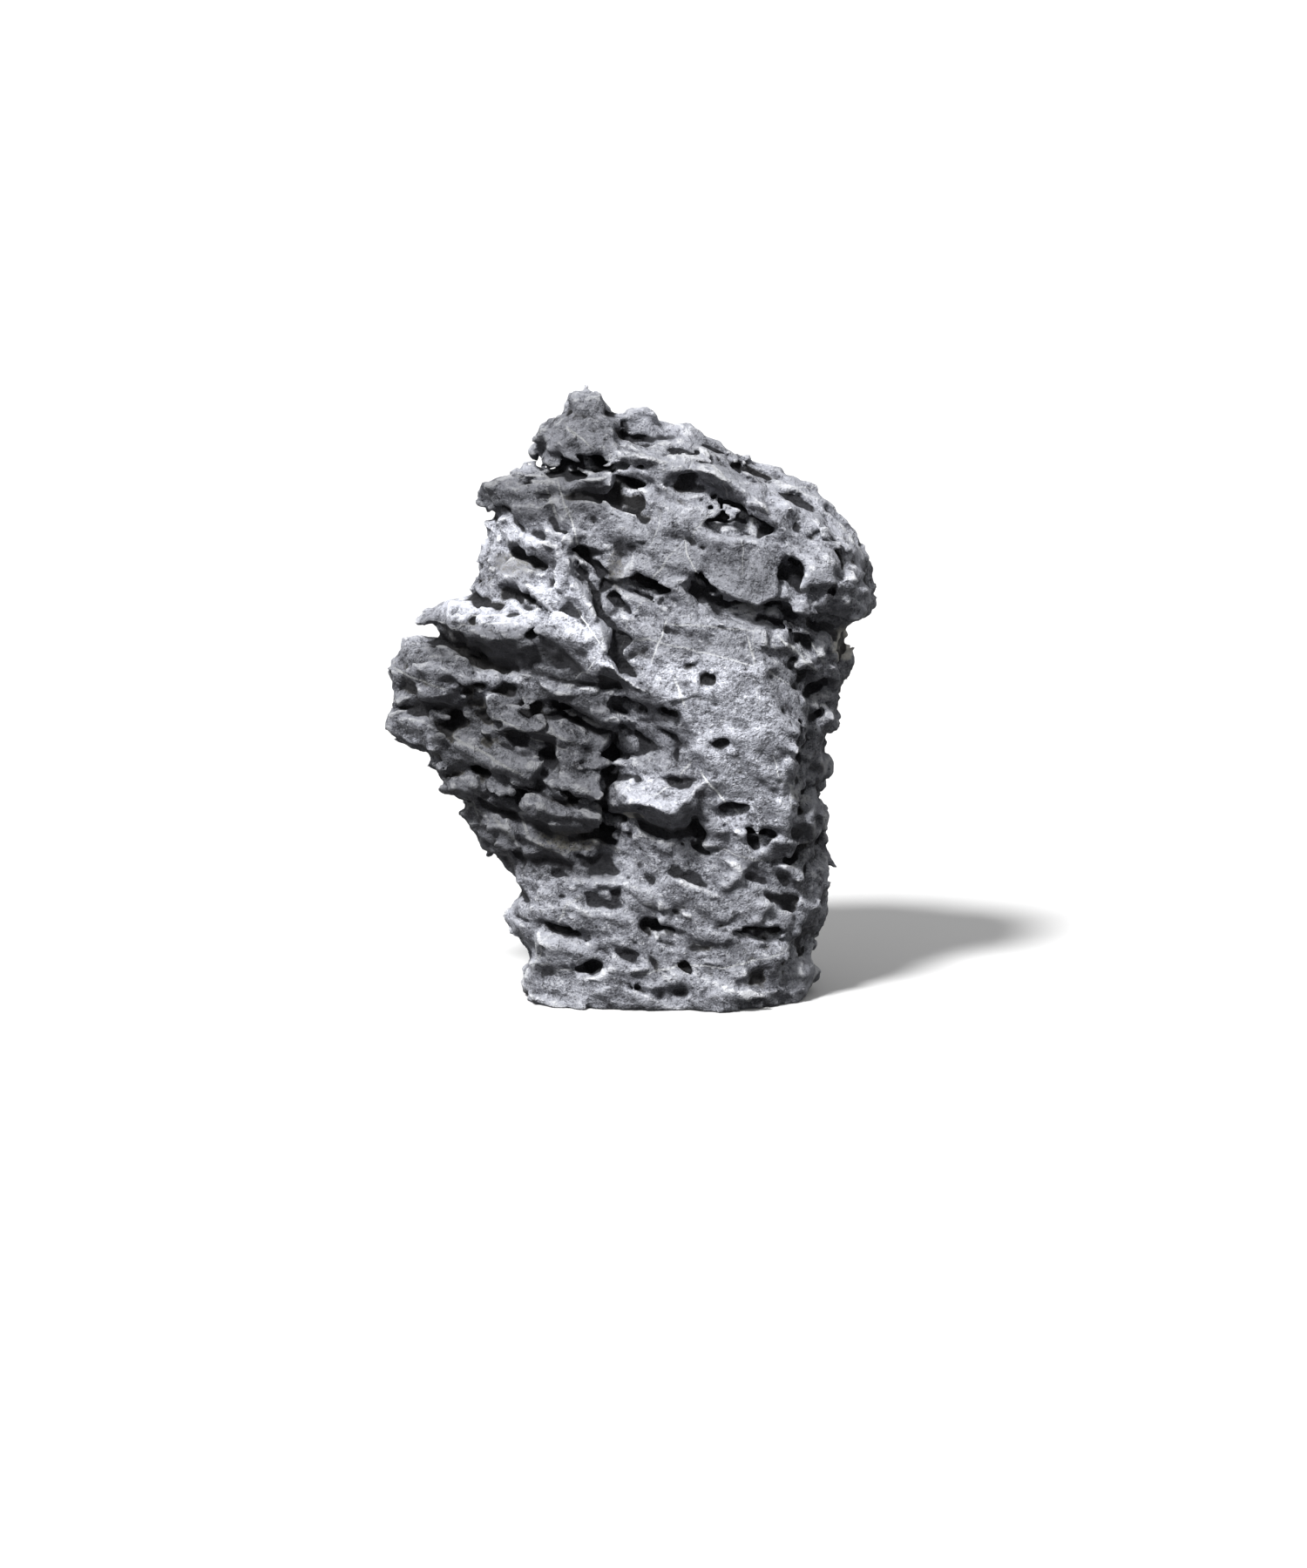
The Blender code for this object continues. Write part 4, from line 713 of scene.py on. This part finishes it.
def boxBlur(volume, radius):
    # mean over a cube, as running sums along each axis in turn
    for axis in range(3):
        padded = np.concatenate([np.repeat(np.take(volume, [0], axis), radius + 1, axis), volume,
                                 np.repeat(np.take(volume, [-1], axis), radius, axis)], axis)
        sums = np.cumsum(padded, axis=axis, dtype=np.float64)
        size = volume.shape[axis]
        width = 2 * radius + 1
        high = np.take(sums, np.arange(width, width + size), axis)
        low = np.take(sums, np.arange(0, size), axis)
        volume = ((high - low) / width).astype(np.float32)
    return volume


def sampleVolume(axes, volume, points):
    # the grid's value at any point, straight between the eight around it
    place = (points - np.array([axis[0] for axis in axes])) / stone["step"]
    cell = np.clip(np.floor(place).astype(int), 0, np.array(volume.shape) - 2)
    t = np.clip(place - cell, 0, 1)
    total = np.zeros(len(points))
    for corner in range(8):
        step = np.array((corner & 1, corner >> 1 & 1, corner >> 2 & 1))
        at = cell + step
        total += np.prod(np.where(step == 1, t, 1 - t), axis=1) * volume[at[:, 0], at[:, 1], at[:, 2]]
    return total


def meshCoordinates(mesh):
    # the mesh's points as one array of x, y, z
    flat = np.empty(len(mesh.vertices) * 3, np.float32)
    mesh.vertices.foreach_get("co", flat)
    return flat.reshape(-1, 3)


def thinned(mesh, triangles):
    # the same skin with fewer, larger triangles where it is flat
    holder = bpy.data.objects.new("thinning", mesh)
    bpy.context.scene.collection.objects.link(holder)
    fewer = holder.modifiers.new("fewer", "DECIMATE")
    fewer.ratio = min(1.0, triangles / sum(len(polygon.vertices) - 2 for polygon in mesh.polygons))
    graph = bpy.context.evaluated_depsgraph_get()
    made = bpy.data.meshes.new_from_object(holder.evaluated_get(graph), depsgraph=graph)
    made.validate()
    bpy.data.objects.remove(holder, do_unlink=True)
    return made


# Where the front is paler or darker than the rest, partly the stone's own tone and partly painted light and
# shade
# on lit and shaded faces: corners (x, height) in mm and how many times doubled
zoneEdge = 4.0  # mm to each side over which a zone fades
zoneDepth = 10.0  # mm in front of and behind the axis over which all zones fade
zones = {
    "ledgeTop": (((-110, 234), (-63, 240), (-42, 228), (-54, 224), (-76, 223), (-104, 225)), 0.7),
    "spur": (((-56, 246), (-38, 257), (-28, 246), (-12, 214), (-5, 199), (-24, 204), (-44, 228)), 0.85),
    "bossTop": (((-4, 131), (4, 123), (27, 119), (35, 127), (36, 138), (2, 140)), 0.45),
    "mainFace": (((2, 206), (40, 208), (76, 206), (82, 180), (92, 160), (92, 104), (60, 98), (44, 122),
                  (34, 169)), 0.78),
    "mainFaceTop": (((14, 224), (76, 226), (76, 206), (40, 208), (6, 206)), -0.15),
    "panel": (((-14, 284), (40, 284), (42, 236), (-12, 236)), -0.2),
    "brow": (((-4, 328), (50, 326), (86, 300), (60, 306), (0, 316)), -0.3),
    "rightLobe": (((92, 264), (130, 262), (138, 238), (112, 232), (92, 240)), 0.2),
    "shoulder": (((78, 300), (112, 290), (132, 268), (104, 270), (84, 282)), 0.2),
    "boulder": (((42, 270), (84, 266), (82, 242), (66, 238), (44, 252)), -0.7),
    "topLobe": (((-56, 314), (-12, 312), (-4, 330), (-12, 352), (-52, 352)), -0.95),
    "slab": (((-88, 284), (-40, 284), (-12, 290), (-12, 308), (-40, 308), (-88, 306)), -1.2),
    "leftBlock": (((-84, 262), (-52, 262), (-42, 284), (-76, 284)), 0.6),
    "ledgeFront": (((-118, 223), (-76, 221), (-50, 222), (-22, 200), (-30, 188), (-112, 202)), -1.2),
    "lobe": (((-140, 150), (-86, 160), (-84, 200), (-110, 210), (-140, 200)), -0.7),
    "lowLeft": (((-112, 166), (-60, 186), (-10, 186), (-6, 130), (-10, 76), (-104, 76)), -1.4),
    "recess": (((-4, 192), (16, 190), (34, 166), (28, 142), (-4, 142)), -0.4),
    "rightStrip": (((98, 200), (130, 200), (120, 150), (116, 80), (98, 80), (96, 150)), -0.5),
}


def paintedZoneShadeAndTone(places):
    # sum of the zones' changes, each with a soft edge, on the front half only: painted light and shade as
    # well as tone
    tone = np.zeros(len(places))
    front = smoothStep(zoneDepth, -zoneDepth, places[:, 1])
    for corners, change in zones.values():
        away = polygonDistance(corners, places[:, 0], places[:, 2])
        tone += change * smoothStep(zoneEdge, -zoneEdge, away) * front
    return tone


def makeStone():
    # the zero level of the distances as a mesh, with numbers on its points that the material reads: a
    # blurred distance less the distance itself is high on edges and low in dents
    axes, field = stoneField()
    field = addRelief(axes, field)
    field = np.maximum(field, -axes[2])  # the flat foot at height 0
    points, quads = largestPiece(*surfaceNet(axes, field))
    say(f"skin of {len(quads)} faces")
    rough = bpy.data.meshes.new("stoneSkin")
    rough.from_pydata(points, [], quads)
    mesh = thinned(rough, stone["triangles"])
    say(f"thinned to {len(mesh.polygons)} faces")
    places = meshCoordinates(mesh).astype(float)
    wide = np.clip(field, -stone["blurReach"], stone["blurReach"])
    near = boxBlur(wide, stone["wearAndHighlightBlur"])
    # the material paints light and shade from these numbers: pale edges partly as a painted highlight,
    # painted shade in dents and recesses, lighter tops and darker undersides, and the zones
    marks = {
        "wearAndHighlight": sampleVolume(axes, near - wide, places),
        "dent": sampleVolume(axes, boxBlur(wide, stone["dentBlur"]) - wide, places),
        "shade": sampleVolume(axes, boxBlur(wide, stone["shadeBlur"]), places),
        "upward": sampleVolume(axes, np.gradient(near, stone["step"], axis=2), places),
        "tone": paintedZoneShadeAndTone(places),
    }
    for name, values in marks.items():
        attribute = mesh.attributes.new(name, "FLOAT", "POINT")
        attribute.data.foreach_set("value", values.astype(np.float32))
    say("wear, hollows and tones")
    low, high = places.min(axis=0), places.max(axis=0)
    fitted = boxLow + (places - low) / (high - low) * (boxHigh - boxLow)
    mesh.vertices.foreach_set("co", (fitted * mm).astype(np.float32).ravel())
    mesh.shade_smooth()
    mesh.update()
    made = bpy.data.objects.new("limestoneBody", mesh)
    bpy.context.scene.collection.objects.link(made)
    return made


class Signal:
    # a socket of a node tree that takes part in sums
    def __init__(self, tree, socket):
        self.tree, self.socket = tree, socket

    def maths(self, operation, *others):
        # a Math node on this value and the others
        return self.tree.node("ShaderNodeMath", {"operation": operation}, (self, *others))

    def __add__(self, other):
        return self.maths("ADD", other)

    def __radd__(self, other):
        return self.maths("ADD", other)

    def __sub__(self, other):
        return self.maths("SUBTRACT", other)

    def __rsub__(self, other):
        return self.tree.node("ShaderNodeMath", {"operation": "SUBTRACT"}, (other, self))

    def __mul__(self, other):
        return self.maths("MULTIPLY", other)

    def __rmul__(self, other):
        return self.maths("MULTIPLY", other)

    def __rpow__(self, base):
        return self.tree.node("ShaderNodeMath", {"operation": "POWER"}, (base, self))

    def size(self):
        # the value without its sign
        return self.maths("ABSOLUTE")

    def most(self, other):
        return self.maths("MAXIMUM", other)

    def least(self, other):
        return self.maths("MINIMUM", other)

    def dot(self, direction):
        return self.tree.vector("DOT_PRODUCT", self, direction, output="Value")

    def between(self, low, high):
        # 0 at low, 1 at high, smooth and held outside them
        values = {"Value": self, "From Min": low, "From Max": high}
        return self.tree.node("ShaderNodeMapRange", {"interpolation_type": "SMOOTHSTEP"}, values)


class Recipe:
    # the nodes of one material or world
    def __init__(self, owner):
        owner.use_nodes = True
        self.nodes, self.links = owner.node_tree.nodes, owner.node_tree.links

    def node(self, kind, settings=None, inputs=None, output=0):
        # a node of any type: its settings first, then values or links for its sockets, by name or in order
        made = self.nodes.new(kind)
        for name, value in (settings or {}).items():
            setattr(made, name, value)
        pairs = inputs.items() if isinstance(inputs, dict) else enumerate(inputs or ())
        for name, value in pairs:
            if isinstance(value, Signal):
                self.links.new(value.socket, made.inputs[name])
            else:
                made.inputs[name].default_value = value
        return Signal(self, made.outputs[output])

    def vector(self, operation, *inputs, output=0):
        return self.node("ShaderNodeVectorMath", {"operation": operation}, inputs, output)

    def noise(self, place, kind, output=0):
        scale, detail, roughness = kind
        values = {"Vector": place, "Scale": scale, "Detail": detail, "Roughness": roughness}
        return self.node("ShaderNodeTexNoise", {}, values, output)

    def attribute(self, name):
        # a number that makeStone left on the mesh
        return self.node("ShaderNodeAttribute", {"attribute_name": name}, {}, "Fac")

    def blendColour(self, factor, first, second):
        # a colour Mix node has its factor and colours at sockets 0, 6 and 7, and its result at 2
        first, second = [ends if isinstance(ends, Signal) else (*ends, 1.0) for ends in (first, second)]
        return self.node("ShaderNodeMix", {"data_type": "RGBA"}, {0: factor, 6: first, 7: second}, 2)

    def feed(self, shader, name, value):
        # a link or a fixed value for a socket of the shader that the tree began with
        socket = self.nodes[shader].inputs[name]
        if isinstance(value, Signal):
            self.links.new(value.socket, socket)
        else:
            socket.default_value = value


# Colours, what share of each shows, and the limits between which each mask goes from 0 to 1
finish = {
    "dark": (0.05, 0.0505, 0.057), "middle": (0.185, 0.19, 0.216), "light": (0.43, 0.44, 0.49),
    # the pale edge colour below is partly weathering and partly a painted highlight; the near-black one is
    # painted shade in recesses
    "wornAndHighlit": (0.80, 0.81, 0.84), "hollow": (0.006, 0.006, 0.008), "earth": (0.085, 0.075, 0.042),
    "vein": (0.70, 0.71, 0.72), "calcite": (0.80, 0.78, 0.73), "roughness": 0.82, "specular": 0.3,
    "middleLimits": (0.05, 0.65), "lightLimits": (0.35, 1.05), "fleckLimits": (0.545, 0.66),
    "rimLimits": (0.25, 1.0), "deepLimits": (0.25, 1.0), "soilLimits": (0.52, 0.68),
    "dirtLimits": (1.3, 1.75), "hollowLimits": (0.3, 1.0), "underLimits": (0.0, -0.9),
    "rimShare": 0.75, "fleckShare": 0.55, "earthShare": 0.7, "hollowShare": 0.92, "underShare": 0.6,
    "beddingScale": (1.0, 1.0, 1.7), "bumpStrength": 0.9, "bumpDistance": 0.0024,
}

# Noises of the finish: scale, detail, roughness
noises = {
    "broad": (26.0, 3.0, 0.6), "mottle": (95.0, 5.0, 0.72), "streak": (260.0, 4.0, 0.7),
    "grain": (240.0, 4.0, 0.65), "speckle": (780.0, 3.0, 0.75), "soil": (17.0, 2.0, 0.55),
    "wave": (34.0, 3.0, 0.5),
}

# How veins bend, fade and break up, m; the sheets are fine veins at seeded places all through the stone
veining = {
    "bend": 0.007, "ends": 0.004, "front": 0.01, "edge": (2.4, 0.9), "breaks": (1.3, 0.2),
    "sheets": 12, "seed": 5, "room": ((-0.08, 0.11), (-0.06, 0.06), (0.03, 0.32)),
    "width": 0.00026, "widths": (0.7, 1.6), "sheetEdge": (1.9, 0.5), "sheetShare": 0.6,
    "patchScales": (19.0, 24.0, 31.0), "patchLimits": (0.47, 0.57),
}

# White veins seen on the front, mm: from (x, height) to (x, height), half width
veins = (
    ((-106, 155), (-62, 136), 0.45), ((-72, 160), (-36, 148), 0.3), ((-77, 165), (-34, 154), 0.3),
    ((-134, 190), (-106, 181), 0.35), ((-78, 106), (-66, 94), 0.5), ((-62, 108), (-58, 98), 0.6),
    ((-92, 118), (-86, 102), 0.4), ((26, 192), (31, 178), 0.4), ((40, 138), (60, 116), 0.35),
    ((20, 224), (12, 202), 0.25), ((66, 214), (70, 202), 0.3), ((84, 214), (104, 192), 0.3),
    ((100, 210), (108, 196), 0.3), ((-46, 294), (-40, 280), 0.4), ((-36, 330), (-22, 318), 0.25),
    ((-40, 300), (-28, 262), 0.3), ((30, 268), (40, 240), 0.25), ((-30, 230), (-12, 206), 0.2),
)

# Patches of pale calcite and of brown dirt: centre and half sizes, mm
calcite = (((122, -18, 205), (9, 34, 10)), ((-5, -46, 120), (3, 16, 4)), ((2, -52, 112), (7, 16, 2.2)))
dirt = (((-34, -44, 96), (20, 26, 7)), ((-64, -34, 252), (18, 22, 6)), ((-50, -34, 236), (18, 20, 4)),
        ((-8, -50, 250), (5, 22, 12)))
patchRagged, patchLimits = 1.6, (1.15, 0.8)


def patch(recipe, place, ragged, centre, size):
    # 1 inside the ellipsoid and 0 outside it, with an edge broken up by noise
    centre, size = [tuple(value * mm for value in part) for part in (centre, size)]
    gap = recipe.vector("DIVIDE", recipe.vector("SUBTRACT", place, centre), size)
    reach = recipe.vector("LENGTH", gap, output="Value")
    return (reach + (ragged - 0.5) * patchRagged).between(*patchLimits)


def veinSheets(recipe, place, ragged):
    # each vein is a thin sheet through the stone, 1 where a bent place lies within its half width
    bend, ends = veining["bend"], veining["ends"]
    wave = recipe.noise(place, noises["wave"], "Color")
    bent = recipe.vector("MULTIPLY_ADD", wave, (bend, bend, bend), place)
    shift = Vector((bend, bend, bend)) / 2
    front = place.dot((0, 1, 0)).between(veining["front"], -veining["front"])
    clear, full = veining["edge"]
    total = None
    for (x1, z1), (x2, z2), width in veins:
        start, end = Vector((x1, 0, z1)) * mm, Vector((x2, 0, z2)) * mm
        length = (end - start).length
        run = (end - start).normalized()
        across = Vector((-run.z, 0, run.x))
        off = (bent.dot(across) - across.dot(start + shift)).size()
        along = bent.dot(run) - run.dot(start + shift)
        held = along.between(-ends, ends) * along.between(length + ends, length - ends)
        line = off.between(width * mm * clear, width * mm * full) * held * front
        total = line if total is None else total.most(line)
    rng = random.Random(veining["seed"])
    patchy = [recipe.noise(place, (scale, 1.0, 0.55)).between(*veining["patchLimits"])
              for scale in veining["patchScales"]]
    clear, full = veining["sheetEdge"]
    for number in range(veining["sheets"]):
        across = Vector([rng.gauss(0, 1) for _ in range(3)]).normalized()
        centre = Vector([rng.uniform(*side) for side in veining["room"]])
        width = veining["width"] * rng.uniform(*veining["widths"])
        off = (bent.dot(across) - across.dot(centre + shift)).size()
        line = off.between(width * clear, width * full) * patchy[number % len(patchy)]
        total = total.most(line * veining["sheetShare"])
    more, least = veining["breaks"]
    return total * (ragged * more + least).least(1.0)


def stoneMaterial():
    # dark, middle and light by mottled noise, lighter on up-facing places as painted light, pale on edges
    # partly by weathering and partly as a painted highlight, with veins and calcite; then the zones'
    # doubling, partly tone and partly painted light and shade; then dirt, and painted shade: dark in dents
    # and on undersides
    material = bpy.data.materials.new("weatheredLimestone")
    recipe = Recipe(material)
    place = recipe.node("ShaderNodeTexCoord", {}, {}, "Object")
    turned = {"Vector": place, "Rotation": (0.0, math.radians(-stone["beddingDip"]), 0.0),
              "Scale": finish["beddingScale"]}
    bedded = recipe.node("ShaderNodeMapping", {}, turned)
    wearAndHighlight, dent, shade = [recipe.attribute(name) for name in ("wearAndHighlight", "dent", "shade")]
    upward, zone = recipe.attribute("upward"), recipe.attribute("tone")
    broad, grain, speckle = [recipe.noise(place, noises[name]) for name in ("broad", "grain", "speckle")]
    mottle, streak = [recipe.noise(bedded, noises[name]) for name in ("mottle", "streak")]
    ridges = 0.5 - (grain - 0.5).size() * 4.0

    tone = (broad - 0.5) * 0.7 + (mottle - 0.5) * 1.4 + (streak - 0.5) + (speckle - 0.5) * 1.3 + 0.5
    tone = tone + ridges * 0.3
    colour = recipe.blendColour(tone.between(*finish["middleLimits"]), finish["dark"], finish["middle"])
    # lighter on edges and on up-facing places as painted light, and by the stone's own mottled tone
    pale = (tone + dent * 0.12 + upward * 0.25).between(*finish["lightLimits"])
    colour = recipe.blendColour(pale, colour, finish["light"])
    fleck = (streak * 0.5 + speckle * 0.5).between(*finish["fleckLimits"])
    # pale rims: partly weathered edges, partly a painted highlight on edges and up-facing faces; the pale
    # flecks are the stone's own
    rim = wearAndHighlight * 0.9 + upward * 0.2 + (mottle - 0.5) * 0.9 + (speckle - 0.5) * 1.6
    wornAndHighlit = (rim.between(*finish["rimLimits"]) * finish["rimShare"]).most(fleck * finish["fleckShare"])
    colour = recipe.blendColour(wornAndHighlit, colour, finish["wornAndHighlit"])
    colour = recipe.blendColour(veinSheets(recipe, place, speckle), colour, finish["vein"])
    for centre, size in calcite:
        colour = recipe.blendColour(patch(recipe, place, mottle, centre, size), colour, finish["calcite"])
    # the zones' doubling paints light and shade on lit and shaded faces, as well as the stone's own tone
    doubled = {"Vector": colour, "Scale": 2.0 ** zone}
    colour = recipe.node("ShaderNodeVectorMath", {"operation": "SCALE"}, doubled)

    # how deep a place lies in dents and large recesses: the mask of the brown dirt and of the painted shade
    # below
    deep = (dent * -0.42 + shade * -0.10 + (mottle - 0.5) * 0.5).between(*finish["deepLimits"])
    earthy = recipe.noise(place, noises["soil"]).between(*finish["soilLimits"]) * deep
    spotted = (mottle + streak + speckle).between(*finish["dirtLimits"])
    for centre, size in dirt:
        earthy = earthy.most(patch(recipe, place, mottle, centre, size) * spotted)
    colour = recipe.blendColour(earthy * finish["earthShare"], colour, finish["earth"])
    # painted shade: near black in dents and recesses
    hollow = deep.between(*finish["hollowLimits"]) * finish["hollowShare"]
    colour = recipe.blendColour(hollow, colour, finish["hollow"])
    # painted shade: faces that look down are darkened
    paintedUnderShade = upward.between(*finish["underLimits"]) * finish["underShare"]
    colour = recipe.blendColour(paintedUnderShade, colour, finish["dark"])

    height = grain * 1.2 + mottle * 0.6 + streak * 0.5 + speckle * 0.3 + ridges * 0.55
    bumps = {"Strength": finish["bumpStrength"], "Distance": finish["bumpDistance"], "Height": height}
    recipe.feed("Principled BSDF", "Base Color", colour)
    recipe.feed("Principled BSDF", "Normal", recipe.node("ShaderNodeBump", {}, bumps, "Normal"))
    recipe.feed("Principled BSDF", "Roughness", finish["roughness"])
    recipe.feed("Principled BSDF", "Specular IOR Level", finish["specular"])
    return material


# Camera, floor and light, m and degrees; the sun is (from where, strength, spread), the key light (place,
# size, power), and the world's light grows from below to ambient as a direction rises between the limits
studio = {
    "distance": 3.0, "elevation": 10.0, "targetX": 0.013, "targetZ": 0.11982, "lens": 120.0, "sensor": 36.0,
    "floor": (0.8, 0.8, 0.8), "floorSize": 120.0, "floorRoughness": 0.9,
    "ambient": 0.5, "below": 0.06, "skyLimits": (-0.5, 0.7), "backdrop": 1.0, "aimHeight": 0.18,
    "sun": ((-0.55, -0.85, 1.15), 4.4, 10.0), "key": ((-1.1, -1.5, 1.6), 0.7, 6.0),
}


def putInScene(name, data):
    # a new object for the data, linked to the scene
    made = bpy.data.objects.new(name, data)
    bpy.context.scene.collection.objects.link(made)
    return made


def addCamera():
    # looks down at the target by the elevation, from the distance
    tilt = math.radians(studio["elevation"])
    target = Vector((studio["targetX"], 0.0, studio["targetZ"]))
    back = Vector((0.0, -math.cos(tilt), math.sin(tilt)))
    data = bpy.data.cameras.new("camera")
    data.lens = studio["lens"]
    data.sensor_width = studio["sensor"]
    camera = putInScene("camera", data)
    camera.location = target + back * studio["distance"]
    camera.rotation_euler = (math.pi / 2 - tilt, 0.0, 0.0)
    bpy.context.scene.camera = camera


def addKeyLight(place, size, power):
    # a round lamp that faces the middle of the stone
    data = bpy.data.lights.new("key", "AREA")
    data.shape = "DISK"
    data.size = size
    data.energy = power
    lamp = putInScene("key", data)
    lamp.location = place
    aim = Vector((0.0, 0.0, studio["aimHeight"])) - Vector(place)
    lamp.rotation_euler = aim.to_track_quat("-Z", "Y").to_euler()


def addSun(place, strength, spread):
    # parallel light from the side of the place, softened by its spread in degrees
    data = bpy.data.lights.new("sun", "SUN")
    data.energy = strength
    data.angle = math.radians(spread)
    putInScene("sun", data).rotation_euler = (-Vector(place)).to_track_quat("-Z", "Y").to_euler()


def addFloor():
    # one flat pale square under the stone
    half = studio["floorSize"] / 2
    corners = [(-half, -half, 0), (half, -half, 0), (half, half, 0), (-half, half, 0)]
    mesh = bpy.data.meshes.new("floor")
    mesh.from_pydata(corners, [], [(0, 1, 2, 3)])
    material = bpy.data.materials.new("paleFloor")
    recipe = Recipe(material)
    recipe.feed("Principled BSDF", "Base Color", (*studio["floor"], 1.0))
    recipe.feed("Principled BSDF", "Roughness", studio["floorRoughness"])
    mesh.materials.append(material)
    floor = putInScene("floor", mesh)
    floor.visible_diffuse = False  # a white sheet this large would light every underside


def addWorld():
    # white light, dim from below and stronger from above, and a plain backdrop for the camera
    world = bpy.data.worlds.new("studio")
    recipe = Recipe(world)
    rising = recipe.node("ShaderNodeTexCoord", {}, {}, "Generated").dot((0, 0, 1))
    low, high = studio["skyLimits"]
    sky = recipe.node("ShaderNodeMapRange", {}, {"Value": rising, "From Min": low, "From Max": high,
                                                 "To Min": studio["below"], "To Max": studio["ambient"]})
    seen = recipe.node("ShaderNodeLightPath", {}, {}, "Is Camera Ray")
    # a number Mix node has its factor and values at sockets 0, 2 and 3
    strength = recipe.node("ShaderNodeMix", {}, {0: seen, 2: sky, 3: studio["backdrop"]})
    recipe.feed("Background", "Color", (1.0, 1.0, 1.0, 1.0))
    recipe.feed("Background", "Strength", strength)
    bpy.context.scene.world = world


addCamera()
addFloor()
addWorld()
addSun(*studio["sun"])
addKeyLight(*studio["key"])
bpy.context.scene.view_settings.view_transform = "Standard"
say("camera, floor and light")
limestone = makeStone()
limestone.data.materials.append(stoneMaterial())
say("stone material")
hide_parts("seiryu_stone")
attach(limestone, "root")
say("stone in place")
